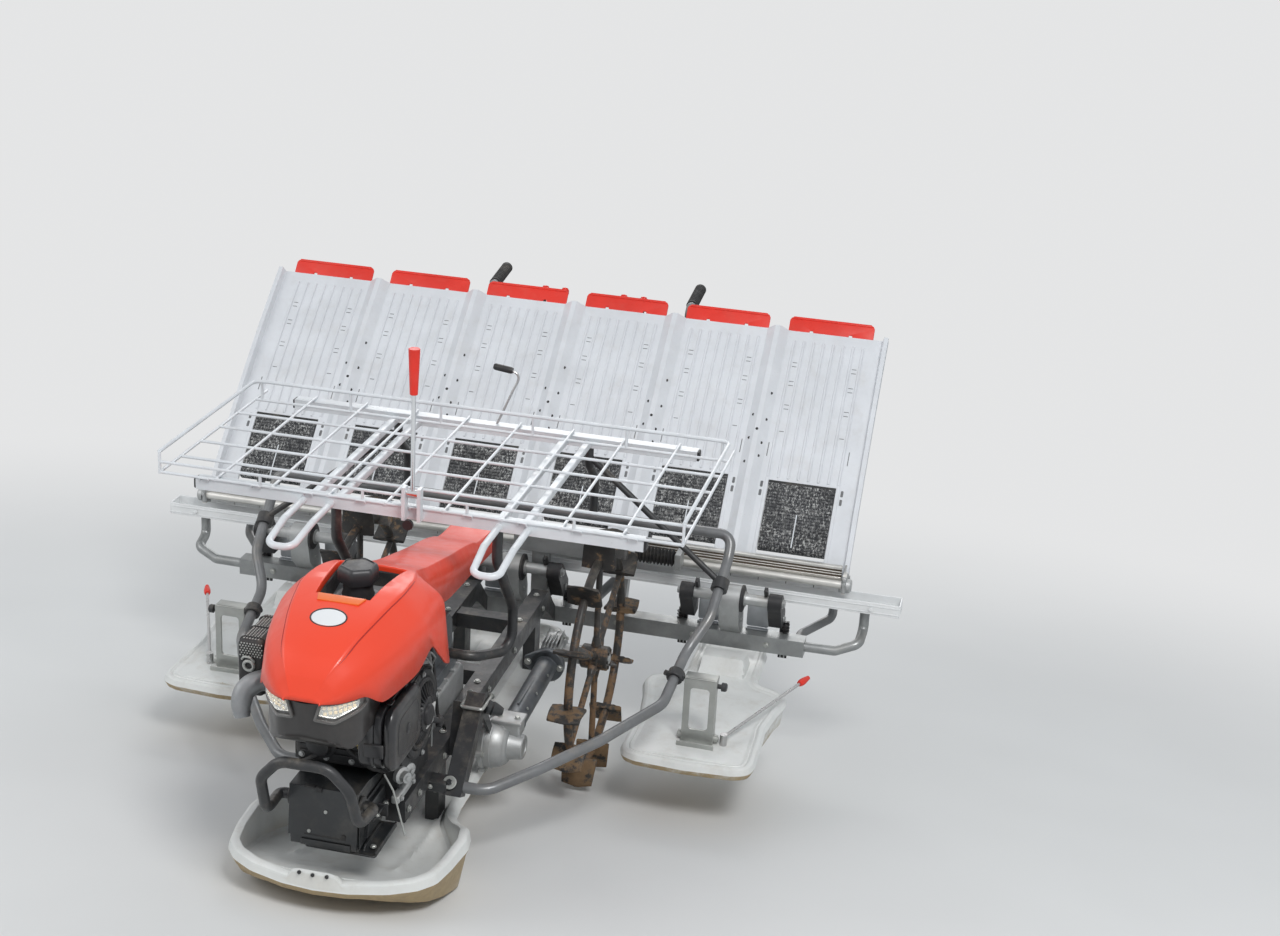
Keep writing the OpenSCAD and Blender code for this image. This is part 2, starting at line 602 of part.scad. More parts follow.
module planting_arm() {
    side_prism(100 + seat, 136, concat(arc(shaft_y, shaft_z, 24, 60, 240, 8),
        [[352, 176], [rail_front - 6, 176], [rail_front - 6, 206], [352, 262]]));
    side_prism(126, 150, [[bar_y + bar_d + 4, 177], [rail_front - 6, 177], [rail_front - 8, 70],
        [rail_front - 13, 70]]);
}
module planting_arms() park() color(dark) for (x = case_x) translate([x, 0, 0]) both() planting_arm();

// Rails
module slide_rail() park() color(white) {
    side_prism(-rail_half, rail_half, [[rail_front, rail_z - rail_h], [rail_front, rail_z],
        [rail_front + 4, rail_z], [rail_front + 4, rail_z - rail_h + 4],
        [rail_y + rail_d / 2 - 4, rail_z - rail_h + 4], [rail_y + rail_d / 2 - 4, rail_z],
        [rail_y + rail_d / 2, rail_z], [rail_y + rail_d / 2, rail_z - rail_h]]);
}
screw_y = 372;
screw_z = 326;
module feed_gearbox() park() color(silver) {
    box_at([-6, 342, 300], [192, 398, 348]);
    box_at([44, 350, bar_top + seat], [90, 380, 301]);
    bar([191, screw_y, screw_z], [450, screw_y, screw_z], 8);
    box_at([436, 348, screw_z - 24], [452, 398, screw_z + 20]);
}
module feed_boot() park() color(dark) for (i = [0:10]) translate([326 + 9.6 * i, screw_y, screw_z])
    rotate([0, 90, 0]) difference() {
        union() {
            cylinder(r1 = 16, r2 = 25, h = 4.8, $fn = fn_small);
            translate([0, 0, 4.8]) cylinder(r1 = 25, r2 = 16, h = 4.8, $fn = fn_small);
        }
        translate([0, 0, -1]) cylinder(r = 8 + seat, h = 12, $fn = fn_small);
    }
guide_y = 812;
guide_z = 548;
shoe_far = 650;
shoe_half = 16;
guide_bend = 30;
guide_x = shoe_far + travel + shoe_half + guide_bend + 14;
guide_bar_r = 12;
guide_path = [[778, bar_y + bar_d + seat, 127], [778, 440, 127], [guide_x, 520, 150], [guide_x, guide_y, guide_z],
    [seat / 2, guide_y, guide_z]];
module rear_guide() park() color(grey) {
    tube(guide_path, guide_bar_r, guide_bend);
    tube(flip(guide_path), guide_bar_r, guide_bend);
    bar([-20, guide_y, guide_z], [20, guide_y, guide_z], guide_bar_r + 4, fn_small);
}

// Rack
chan_top = rack_z - wire_r - seat;
chan_h = 26;
chan_w = 30;
back_chan_y = 84;
post_rack_x = 250;
clip_half = 14;
pole_y = -rack_front_y - 14;
pole_z = 786;
module rack_supports() park() color(dark) both() {
    for (x = [190, 250]) bar([x, -rack_front_y + chan_w + seat, chan_top - 14], [x, back_chan_y - seat, chan_top - 14], 8);
    tube([[case_half + seat, -470, 385], [140, -470, 385], [190, -340, 350], [190, -340, 460],
        [190, -rack_front_y + chan_w / 2, 640], [190, -rack_front_y + chan_w / 2, chan_top - chan_h - seat]], 12);
    tube([[post_rack_x, cross_y, cross_z + guard_r + seat], [post_rack_x, cross_y, 600],
        [post_rack_x, back_chan_y + chan_w / 2, 670], [post_rack_x, back_chan_y + chan_w / 2,
        chan_top - chan_h - seat]], 11);
    // Brace down to a collar on the guard tube
    collar(rise_a, rise_b, 0.55, guard_r, 8, 30);
    bar([post_rack_x, back_chan_y + chan_w / 2, 690], rise_a + (rise_b - rise_a) * 0.55 + [-12, 4, 14], 8);
}
module rack_channels() park() color(white) {
    for (y = [-rack_front_y, back_chan_y]) box_at([-524, y, chan_top - chan_h], [524, y + chan_w, chan_top]);
    both() tube([[196, -rack_front_y + 10, chan_top - 14], [196, -610, chan_top - 16], [202, -716, chan_top - 36],
        [260, -716, chan_top - 36], [262, -610, chan_top - 16], [262, -rack_front_y + 10, chan_top - 14]], 8, 24);
    for (x = [-clip_half - 8, clip_half]) side_prism(x, x + 8, [[-rack_front_y + 1, chan_top - 20],
        [-rack_front_y - 26, chan_top - 20], [-rack_front_y - 26, pole_z + 14], [-rack_front_y - 5, pole_z + 14],
        [-rack_front_y - 5, chan_top - 2], [-rack_front_y + 1, chan_top - 2]]);
}
rim_front = 25;
module rack_basket() park() color(white) {
    for (i = [0:long_wire_n - 1]) let (y = -rack_front_y + (rack_front_y + rack_back_y) * i / (long_wire_n - 1))
        bar([-rack_half, y, rack_z], [rack_half, y, rack_z], wire_r);
    for (i = [0:cross_wire_n - 1]) let (x = -rack_half + 2 * rack_half * i / (cross_wire_n - 1))
        bar([x, -rack_front_y - wire_r, rack_z], [x, back_chan_y + chan_w, rack_z], wire_r);
    for (z = [rack_rim]) tube([[-rack_half, -rack_front_y, rack_z + z], [-rack_half, rack_back_y, rack_z + z],
        [rack_half, rack_back_y, rack_z + z], [rack_half, -rack_front_y, rack_z + z]], wire_r + 1, 24);
    bar([-rack_half, -rack_front_y, rack_z + rim_front], [rack_half, -rack_front_y, rack_z + rim_front], wire_r);
    for (i = [0:5]) let (x = -rack_half + 2 * rack_half * i / 5) {
        bar([x, -rack_front_y, rack_z], [x, -rack_front_y, rack_z + (i % 5 == 0 ? rack_rim : rim_front)], wire_r);
        bar([x * 0.97, rack_back_y, rack_z], [x * 0.97, rack_back_y, rack_z + rack_rim], wire_r);
    }
}
module pole_grip() park() color(red) translate([0, pole_y, pole_z]) difference() {
    translate([0, 0, pole_len - pole_grip_len]) cylinder(r1 = 9, r2 = 13, h = pole_grip_len, $fn = fn_small);
    cylinder(r = pole_r + seat, h = pole_len - 20, $fn = fn_small);
}
module centre_pole() park() color(silver) translate([0, pole_y, pole_z]) {
    cylinder(r = pole_r, h = pole_len - 20 - seat, $fn = fn_small);
    translate([-clip_half + seat, 0, 0]) rotate([0, 90, 0])
        cylinder(r = 8, h = 2 * (clip_half - seat), $fn = fn_small);
}

// Handles
grip_back = [0, cos(handle_slope), sin(handle_slope)];
grip_tip = [handle_half, handle_end_y, handle_z];
grip_root = grip_tip - grip_len * grip_back;
module handlebars() park() color(grey) both()
    tube([[200, bar_y + bar_d + seat, 128], [200, 480, 128], [handle_half, 600, 222], [handle_half, 1035, 715],
        grip_root - 20 * grip_back, grip_root + [0, -seat, 0]], handle_r, 30);
module hand_grips() park() color(dark) both() bar(grip_root, grip_tip, grip_r, fn_round);
module control_panel() park() color(dark) {
    box_at([-200, 1000, 640], [200, 1110, 700]);
    for (x = [-150, -90, 90, 150]) bar([x, 1075, 699], [x, 1110, 800], 6);
    both() box_at([199, 980, 650], [handle_half - handle_r - seat, 1012, 680]);
}

// Platform
plat_low = [477, 288];
plat_high = plat_low + plat_len * [cos(plat_tilt), sin(plat_tilt)];
plat_steps = 8;
// A point at share u up the slope and height h over the sheet's underside
function plat_dir(u) = plat_tilt + plat_bend * (1 - 2 * u);
function plat_sag(u) = plat_len * tan(plat_bend) * u * (1 - u);
function plat_at(u, h) = plat_low + u * (plat_high - plat_low)
    + plat_sag(u) * [-sin(plat_tilt), cos(plat_tilt)] + h * [-sin(plat_dir(u)), cos(plat_dir(u))];
function strip(u0, u1, h0, h1, n = plat_steps) = concat(
    [for (i = [0:n]) plat_at(u0 + (u1 - u0) * i / n, h0)],
    [for (i = [n:-1:0]) plat_at(u0 + (u1 - u0) * i / n, h1)]);
rib_gap = (row_pitch - ridge_foot - rib_w - 14) / (rib_n - 1);
win_u0 = window_up / plat_len;
win_u1 = (window_up + window_l) / plat_len;
function row_x(i) = (i - (row_n - 1) / 2) * row_pitch;
half_plat = row_n * row_pitch / 2 + 15;
module on_platform() translate([plat_offset, 0, 0]) children();
// A ridge with slanted sides up the slope, centred on x
module ridge(x) loft([for (i = [0:plat_steps]) let (u = 0.02 + 0.98 * i / plat_steps, low = plat_at(u, plat_t - 1),
    top = plat_at(u, ridge_h)) [[x - ridge_foot / 2, low[0], low[1]], [x - ridge_top / 2, top[0], top[1]],
    [x + ridge_top / 2, top[0], top[1]], [x + ridge_foot / 2, low[0], low[1]]]]);
module seedling_platform() park() color(white) on_platform() {
    difference() {
        side_prism(-half_plat, half_plat, strip(0, 1, 0, plat_t));
        for (i = [0:row_n - 1]) side_prism(row_x(i) - window_w / 2, row_x(i) + window_w / 2,
            strip(win_u0, win_u1, -20, 20));
    }
    for (i = [1:row_n - 1]) ridge(row_x(i) - row_pitch / 2);
    // Small ribs that the mats slide on
    for (i = [0:row_n - 1], j = [0:rib_n - 1]) let (x = row_x(i) + (j - (rib_n - 1) / 2) * rib_gap)
        side_prism(x - rib_w / 2, x + rib_w / 2, strip(win_u1 + 0.03, 0.95, plat_t - 3, plat_t + rib_h, 3));
    for (s = [-1, 1]) side_prism(s * (half_plat - 7) - 7, s * (half_plat - 7) + 7, strip(0, 1, plat_t - 1, ridge_h));
    // Shoes that ride on the rear guide bar
    for (x = shoe_x) difference() {
        side_prism(x - shoe_half, x + shoe_half, [plat_at(0.6, 1), plat_at(0.71, 1), [guide_y + 20, guide_z + 30],
            [guide_y + 20, guide_z], [guide_y - 20, guide_z], [guide_y - 20, guide_z + 30]]);
        translate([x - shoe_half - 1, guide_y, guide_z]) rotate([0, 90, 0])
            cylinder(r = guide_bar_r + seat, h = 2 * shoe_half + 2, $fn = fn_small);
    }
}
low_y = 446;
gate_n = 9;
gate_gap = 30;
shoe_x = [-shoe_far, -250, 250, shoe_far];
// A point on the platform's first straight stretch, h over its underside
function low_chord(u, h) = plat_at(0, h) + (plat_at(1 / plat_steps, h) - plat_at(0, h)) * u * plat_steps;
module platform_rail() park() color(silver) on_platform() {
    side_prism(-half_plat, half_plat, [[low_y, 276], [low_y, 300], [low_y + 10, 300], [low_y + 10, 286],
        low_chord(0, -seat), low_chord(0.045, -seat), low_chord(0.045, -6), [482, 276]]);
    // Feet that slide along the rail
    for (x = shoe_x) box_at([x - shoe_half, 452, rail_z + seat], [x + shoe_half, 480, 277]);
    bar([-half_plat, low_y - 18, 292], [half_plat, low_y - 18, 292], feed_r, fn_round);
    for (s = [-1, 1]) side_prism(s * (half_plat - 5) - 5, s * (half_plat - 5) + 5, [[low_y - 30, 270],
        [low_y - 30, 312], [low_y - 18, 322], [low_y + 2, 322], [low_y + 10, 312], [low_y + 10, 270]]);
    // Slotted strip of the seedling gates
    difference() {
        box_at([-half_plat + 9, low_y - 1, 264], [half_plat - 9, low_y + 3, 277]);
        for (i = [0:row_n - 1], j = [0:gate_n - 1]) let (x = row_x(i) + (j - (gate_n - 1) / 2) * gate_gap)
            box_at([x - 4, low_y - 2, 260], [x + 4, low_y + 4, 273]);
    }
}
module feed_belts() park() color(dark) on_platform()
    for (i = [0:row_n - 1]) side_prism(row_x(i) - window_w / 2 + seat, row_x(i) + window_w / 2 - seat,
        strip(win_u0 + 0.015, win_u1 - 0.001, -16, plat_t + 3));
module top_edging() park() color(red) on_platform()
    for (i = [0:row_n - 1]) side_prism(row_x(i) - 122, row_x(i) + 122,
        [plat_at(1, plat_t + 0.5) + seat * unit2, plat_at(1, plat_t + 0.5) + edging_h * unit2,
         plat_at(1, 0) + edging_h * unit2, plat_at(1, 0) + seat * unit2]);
unit2 = [cos(plat_dir(1) + 12), sin(plat_dir(1) + 12)];

// Markers
marker_x = 676;
marker_y = -128;
module marker(side) {
    bar([side * marker_x, marker_y, float_h + 22], [side * 832, 196, float_h + 50], 4);
    translate([side * marker_x, marker_y, float_h - 5 + seat]) cylinder(r = 9, h = 34, $fn = fn_small);
}
module marker_left() park() color(silver) marker(1);
module marker_right() park() color(silver) marker(-1);

centre_float();
side_float_left();
side_float_right();
main_frame();
engine_box();
engine();
recoil_starter();
air_cleaner();
muffler();
cooling_duct();
bonnet();
lamp_mask();
headlamps();
fuel_cap();
front_guard();
transmission();
axle_case_left();
axle_case_right();
frame_struts();
float_brackets();
side_guards();
rack_supports();
rack_channels();
rack_basket();
planting_beam();
planting_cases();
planting_arms();
slide_rail();
feed_gearbox();
feed_boot();
rear_guide();
handlebars();
hand_grips();
control_panel();
seedling_platform();
platform_rail();
feed_belts();
top_edging();
centre_pole();
pole_grip();
marker_left();
marker_right();
wheel_left();
wheel_right();
lugs_left();
lugs_right();
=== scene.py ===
"""Looks of a six row walk-behind rice transplanter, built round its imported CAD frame."""

import json
import logging
import math
from dataclasses import dataclass, field
from enum import Enum

import bmesh
import bpy
import numpy as np
from mathutils import Matrix, Vector

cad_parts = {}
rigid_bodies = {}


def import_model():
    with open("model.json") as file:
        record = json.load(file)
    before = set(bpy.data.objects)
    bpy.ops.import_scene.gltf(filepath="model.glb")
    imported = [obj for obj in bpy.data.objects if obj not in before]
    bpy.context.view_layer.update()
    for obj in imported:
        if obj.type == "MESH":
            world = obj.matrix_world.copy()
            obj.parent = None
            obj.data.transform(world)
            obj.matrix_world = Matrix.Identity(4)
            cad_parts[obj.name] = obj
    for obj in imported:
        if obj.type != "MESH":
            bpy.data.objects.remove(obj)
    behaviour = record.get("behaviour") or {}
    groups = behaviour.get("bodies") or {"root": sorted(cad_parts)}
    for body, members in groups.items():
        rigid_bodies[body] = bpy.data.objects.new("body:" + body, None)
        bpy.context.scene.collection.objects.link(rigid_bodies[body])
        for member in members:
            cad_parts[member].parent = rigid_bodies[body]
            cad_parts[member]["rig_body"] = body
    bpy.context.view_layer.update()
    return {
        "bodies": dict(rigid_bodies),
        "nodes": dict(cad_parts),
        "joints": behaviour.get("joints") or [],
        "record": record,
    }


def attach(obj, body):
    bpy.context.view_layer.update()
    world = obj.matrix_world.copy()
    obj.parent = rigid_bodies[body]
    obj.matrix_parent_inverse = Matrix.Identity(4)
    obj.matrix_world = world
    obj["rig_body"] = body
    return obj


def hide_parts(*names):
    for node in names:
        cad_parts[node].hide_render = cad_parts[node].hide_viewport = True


LOG = logging.getLogger("transplanter")
Array = np.ndarray
Triple = tuple[float, float, float]
Pair = tuple[float, float]

MERGE_M = 2e-6
CAD_MERGE_M = 2e-5
FLAT_DEGREES = 0.6
SENSOR_MM = 36.0
BUMP_M = 0.0008
COAT_ROUGHNESS = 0.12
LAMP_GLOW = (1, 0.98, 0.94)
FEED_OFFSET = -28.0
UP = np.array([0, 0, 1.0])
X, Y, Z, AHEAD = (1, 0, 0), (0, 1, 0), (0, 0, 1), (0, -1, 0)


# Stance and shapes


@dataclass(frozen=True)
class Stance:
    """How the machine stands: its own millimetres, leaning nose down, against the row frame's metres."""

    lean: float
    hub: Triple
    hub_mm: Triple = (315.0, 0.0, 190.0)

    @classmethod
    def from_frame(cls, frame: dict) -> "Stance":
        """Reads the lean from a marker's upright pivot and the place from the left wheel's shaft.


        Returns:
            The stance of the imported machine.
        """
        joints = {j["name"]: j for j in frame["joints"]}
        axis = joints["marker_swing_left"]["axis"]
        return cls(math.atan2(-axis[1], axis[2]), tuple(joints["wheel_turn_left"]["pos_m"]))

    @property
    def matrix(self) -> Array:
        """The turn about X by the lean, as a 3 by 3 matrix."""
        c, s = math.cos(self.lean), math.sin(self.lean)
        return np.array([[1, 0, 0], [0, c, -s], [0, s, c]])

    def place(self, points: Array) -> Array:
        """Turns machine millimetres about the hub and moves them to the row frame's metres."""
        return (np.asarray(points, float) - np.array(self.hub_mm)) @ self.matrix.T / 1000 + np.array(self.hub)


@dataclass
class Shape:
    """A mesh in machine millimetres: its corners, and its faces in arrays of equal corner count."""

    verts: Array
    faces: list[Array]

    @staticmethod
    def join(shapes: list["Shape"]) -> "Shape":
        """Puts several shapes in one, with the faces' numbers moved on by the corners before them."""
        starts = np.cumsum([0] + [len(s.verts) for s in shapes[:-1]])
        return Shape(np.concatenate([s.verts for s in shapes]),
                     [f + start for s, start in zip(shapes, starts) for f in s.faces])

    def __add__(self, other: "Shape") -> "Shape":
        """This shape and another as one."""
        return Shape.join([self, other])

    def moved(self, by: Triple) -> "Shape":
        """The same shape carried along by a step."""
        return Shape(self.verts + np.asarray(by, float), self.faces)

    def reversed(self) -> "Shape":
        """The same corners, with every face looking the other way."""
        return Shape(self.verts, [f[:, ::-1] for f in self.faces])

    def flipped(self) -> "Shape":
        """The shape mirrored to the machine's other side, with its faces turned to point outwards again."""
        return Shape(self.verts * np.array([-1.0, 1, 1]), self.faces).reversed()

    def both(self) -> "Shape":
        """The shape and its mirror."""
        return self + self.flipped()

    def volume(self) -> float:
        """Six times the signed volume: the triple products a . (b x c) summed over the faces' fans."""
        v = self.verts - self.verts.mean(0)
        return sum(float((np.cross(v[f[:, 1:-1]], v[f[:, 2:]]) * v[f[:, :1]]).sum()) for f in self.faces)

    def outward(self) -> "Shape":
        """Turns the faces of a closed shape outwards, where its signed volume is negative."""
        return self if self.volume() >= 0 else self.reversed()

    def turned(self, axis: Triple, degrees: float, about: Triple = (0, 0, 0)) -> "Shape":
        """Turns the shape by Rodrigues' formula about an axis through a point."""
        m = np.array(Matrix.Rotation(math.radians(degrees), 3, axis))
        return Shape((self.verts - np.asarray(about)) @ m.T + np.asarray(about), self.faces)

    def copies(self, steps: Array) -> "Shape":
        """Copies the shape to every step of an n by 3 array, all at once.

        Args:
            steps: how far each copy is carried.

        Returns:
            All the copies as one shape.
        """
        steps = np.asarray(steps, float).reshape(-1, 3)
        n = len(self.verts)
        verts = (self.verts[None] + steps[:, None]).reshape(-1, 3)
        offsets = (np.arange(len(steps)) * n)[:, None, None]
        return Shape(verts, [(f[None] + offsets).reshape(-1, f.shape[1]) for f in self.faces])

    def spun(self, axis: Triple, count: int, about: Triple = (0, 0, 0)) -> "Shape":
        """Copies the shape round an axis at equal angles."""
        return Shape.join([self.turned(axis, 360 * i / count, about) for i in range(count)])


def unit(v: Array) -> Array:
    """Each vector divided by its length."""
    v = np.asarray(v, float)
    return v / np.maximum(np.linalg.norm(v, axis=-1, keepdims=True), 1e-12)


def cells(index: Array) -> Array:
    """The four corners of every cell in a table of point numbers."""
    return np.stack([index[:-1, :-1], index[1:, :-1], index[1:, 1:], index[:-1, 1:]], -1)


def grid(points: Array, wrap_u: bool = False, wrap_v: bool = False, caps: bool = False) -> Shape:
    """Joins an n by m grid of points with four-sided faces.

    Args:
        points: array of shape (n, m, 3), rows u and columns v.
        wrap_u: joins the last row to the first.
        wrap_v: joins the last column to the first.
        caps: closes the first and last rows with one face each.

    Returns:
        The surface; its faces point to where rows cross columns by the right-hand rule.
    """
    n, m = points.shape[:2]
    index = np.arange(n * m).reshape(n, m)
    if wrap_u:
        index = np.vstack([index, index[:1]])
    if wrap_v:
        index = np.hstack([index, index[:, :1]])
    faces = [cells(index).reshape(-1, 4)]
    if caps:
        faces += [np.arange(m)[None], (np.arange(m)[::-1] + (n - 1) * m)[None]]
    return Shape(points.reshape(-1, 3).astype(float), faces)


def closed_sheet(top: Array, base: Array, keep: Array | None = None) -> Shape:
    """Joins an upper and a lower grid of points along every open edge.

    Args:
        top: (n, m, 3) points of the upper face.
        base: (n, m, 3) points of the lower face.
        keep: which of the n - 1 by m - 1 squares are there; all of them if it isn't given.

    Returns:
        The closed sheet.
    """
    n, m = top.shape[:2]
    index = np.arange(n * m).reshape(n, m)
    quads = cells(index)
    kept = quads.reshape(-1, 4) if keep is None else quads[keep]
    edges = np.concatenate([kept[:, [k, (k + 1) % 4]] for k in range(4)])
    _, where, count = np.unique(np.sort(edges, 1), axis=0, return_index=True, return_counts=True)
    a, b = edges[where[count == 1]].T
    wall = np.stack([b, a, a + n * m, b + n * m], -1)
    verts = np.concatenate([top.reshape(-1, 3), base.reshape(-1, 3)])
    return Shape(verts, [kept, kept[:, ::-1] + n * m, wall]).outward()


def solid(rings: Array) -> Shape:
    """Joins closed rings to a solid with flat ends, its faces outwards."""
    return grid(rings, wrap_v=True, caps=True).outward()


def rounded_path(points: list[Triple], bend: float, steps: int = 6) -> Array:
    """Replaces each inner corner of a polyline by an arc of one radius, sampled at equal angles.

    Args:
        points: the corners.
        bend: radius of the arcs, cut down where a stretch is too short.
        steps: stretches in each arc.

    Returns:
        The points of the smooth path.
    """
    p = np.asarray(points, float)
    d = np.diff(p, axis=0)
    length = np.linalg.norm(d, axis=1)
    d = d / length[:, None]
    out = [p[:1]]
    for a, b, corner, room in zip(d[:-1], d[1:], p[1:-1], np.minimum(length[:-1], length[1:]) * 0.5):
        turn = math.acos(float(np.clip(a @ b, -1, 1)))
        if turn < 1e-3:
            out.append(corner[None])
            continue
        cut = min(bend * math.tan(turn / 2), room)
        r = cut / math.tan(turn / 2)
        inward = unit(b - (b @ a) * a)
        t = np.linspace(0, turn, steps + 1)[:, None]
        out.append(corner - a * cut + r * (np.sin(t) * a + (1 - np.cos(t)) * inward))
    out.append(p[-1:])
    return np.concatenate(out)


def spline(points: list[Triple], count: int = 40) -> Array:
    """A smooth curve through points: the Catmull-Rom cubic, at equal steps of its parameter.

    Args:
        points: what it passes through.
        count: points on the curve.

    Returns:
        The curve's points.
    """
    p = np.asarray(points, float)
    p = np.vstack([2 * p[0] - p[1], p, 2 * p[-1] - p[-2]])
    t = np.linspace(0, len(p) - 3 - 1e-9, count)
    i = t.astype(int)
    f = (t - i)[:, None]
    a, b, c, d = p[i], p[i + 1], p[i + 2], p[i + 3]
    return 0.5 * (2 * b + (c - a) * f + (2 * a - 5 * b + 4 * c - d) * f**2 + (3 * b - a - 3 * c + d) * f**3)


def sweep(path: Array, profile: Array, up: Triple | None = None, closed: bool = False,
          scale: Array | None = None) -> Shape:
    """Carries a closed profile along a path, square to it.

    Each station holds the profile's x along a side direction and its y along the second normal. With `up`
    given the second normal leans to it; otherwise the frame is carried on with the least twist.

    Args:
        path: (n, 3) points.
        profile: (m, 2) points, counter-clockwise.
        up: direction that the profile's y keeps near.
        closed: joins the path's end to its start.
        scale: one factor for each station.

    Returns:
        The solid, closed with caps where the path is open.
    """
    path = np.asarray(path, float)
    tangent = unit(np.roll(path, -1, 0) - np.roll(path, 1, 0)) if closed else unit(np.gradient(path, axis=0))
    if up is not None:
        side = unit(np.cross(tangent, np.asarray(up, float)))
    else:
        start = np.eye(3)[np.argmin(np.abs(tangent[0]))]
        rows = [unit(np.cross(tangent[0], start))]
        for t in tangent[1:]:
            rows.append(unit(rows[-1] - (rows[-1] @ t) * t))
        side = np.array(rows)
    second = np.cross(side, tangent)
    prof = np.asarray(profile, float)
    grow = np.ones(len(path)) if scale is None else np.asarray(scale, float)
    ring = (side[:, None] * prof[None, :, :1] + second[:, None] * prof[None, :, 1:]) * grow[:, None, None]
    return grid(path[:, None] + ring, wrap_u=closed, wrap_v=True, caps=not closed).outward()


def angles(count: int) -> Array:
    """Equal angles once round."""
    return np.linspace(0, 2 * np.pi, count, endpoint=False)


def circle(radius: float, sides: int = 16) -> Array:
    """Points of a circle, counter-clockwise."""
    a = angles(sides)
    return np.stack([radius * np.cos(a), radius * np.sin(a)], -1)


def tube(points: list[Triple], radius: float, bend: float = 40, sides: int = 16, steps: int = 7) -> Shape:
    """A round tube along a polyline with rounded corners."""
    return sweep(rounded_path(points, bend, steps), circle(radius, sides))


def basis(axis: Triple) -> Array:
    """Three square directions as rows: the first two across the axis, the third along it.

    Args:
        axis: any direction, of any length.

    Returns:
        A 3 by 3 array.
    """
    w = unit(np.asarray(axis, float))
    u = unit(np.cross(np.eye(3)[np.argmin(np.abs(w))], w))
    return np.array([u, np.cross(w, u), w])


def lathe(profile: list[Pair], centre: Triple, axis: Triple, sides: int = 48) -> Shape:
    """Turns a profile about an axis: point (r, h) goes round at radius r and height h.

    Args:
        profile: points from the axis outwards and back; a radius of 0 closes the end.
        centre: the axis's start.
        axis: its direction.
        sides: stations round the axis.

    Returns:
        The turned surface.
    """
    b = basis(axis)
    p = np.maximum(np.asarray(profile, float), [1e-3, -1e9])
    ring = circle(1, sides) @ b[:2]
    pts = p[None, :, :1] * ring[:, None] + p[None, :, 1:] * b[2] + np.asarray(centre, float)
    return grid(pts, wrap_u=True).outward()


def outset(outline: Array, by: Array) -> Array:
    """Moves a closed counter-clockwise outline out along its corners' normals, by one or several amounts.

    Args:
        outline: (n, 2) points.
        by: (k,) distances.

    Returns:
        (k, n, 2) outlines. Each corner moves along its edges' mean normal over the half-angle's cosine.
    """
    edge = unit(np.roll(outline, -1, 0) - outline)
    normal = np.stack([edge[:, 1], -edge[:, 0]], -1)
    both = normal + np.roll(normal, 1, 0)
    corner = both / np.maximum((both * normal).sum(-1, keepdims=True), 0.35)
    return outline[None] + corner[None] * np.asarray(by, float)[:, None, None]


def plate(outline: Array, low: float, high: float, edge: float, axes: tuple[int, int, int] = (0, 1, 2),
          steps: int = 3) -> Shape:
    """A flat outline given thickness, with its edges rounded by a quarter circle.

    The side profile (inset e(1 - sin t), height e(1 - cos t) from each face) is carried round the outline.

    Args:
        outline: (n, 2) points, counter-clockwise.
        low: height of the lower face.
        high: height of the upper face.
        edge: radius of the rounding.
        axes: where the outline's x, y and the height go, as axis numbers.
        steps: stretches in each rounding.

    Returns:
        The closed plate.
    """
    t = np.linspace(0, np.pi / 2, steps + 1)
    inset = np.concatenate([-edge * (1 - np.sin(t)), -edge * (1 - np.cos(t[1:]))]) if steps else np.zeros(2)
    rise = np.concatenate([low + edge * (1 - np.cos(t)), high - edge * (1 - np.sin(t[1:]))])
    rings = outset(np.asarray(outline, float), inset)
    pts = np.empty(rings.shape[:2] + (3,))
    pts[..., axes[0]], pts[..., axes[1]] = rings[..., 0], rings[..., 1]
    pts[..., axes[2]] = rise[:, None]
    return solid(pts)


def block(low: Triple, high: Triple, edge: float = 3, steps: int = 2) -> Shape:
    """A box with rounded edges: a cube's surface drawn in by the radius and pushed out again.

    Args:
        low: the corner with the least coordinates.
        high: the corner with the greatest.
        edge: radius of the rounding, kept under half of the thinnest side.
        steps: stretches in half a rounding.

    Returns:
        The closed box.
    """
    lo, hi = np.asarray(low, float), np.asarray(high, float)
    half, mid = (hi - lo) / 2, (hi + lo) / 2
    edge = min(edge, half.min() * 0.98)
    band = 0.3
    s = np.concatenate([-1 + np.linspace(0, 1, steps + 1) * band, 1 - np.linspace(1, 0, steps + 1) * band])
    sign = np.sign(s)
    ang = (np.abs(s) - (1 - band)) / band
    a, b = np.meshgrid(np.arange(len(s)), np.arange(len(s)), indexing="ij")
    shapes = []
    for ax in range(3):
        for side in (-1, 1):
            d = np.zeros(a.shape + (3,))
            d[..., ax] = side
            d[..., (ax + 1) % 3] = sign[a] * np.tan(ang[a] * np.pi / 4)
            d[..., (ax + 2) % 3] = sign[b] * np.tan(ang[b] * np.pi / 4)
            core = np.zeros_like(d)
            core[..., ax] = side
            core[..., (ax + 1) % 3], core[..., (ax + 2) % 3] = sign[a], sign[b]
            pts = mid + core * (half - edge) + unit(d) * edge
            face = grid(pts)
            shapes.append(face if side > 0 else face.reversed())
    return Shape.join(shapes)


def disc(radius: float, height: float, centre: Triple, axis: Triple, sides: int) -> Shape:
    """A plain round disc or pin that stands on its centre along the axis."""
    return lathe([(0, 0), (radius, 0), (radius, height), (0, height)], centre, axis, sides)


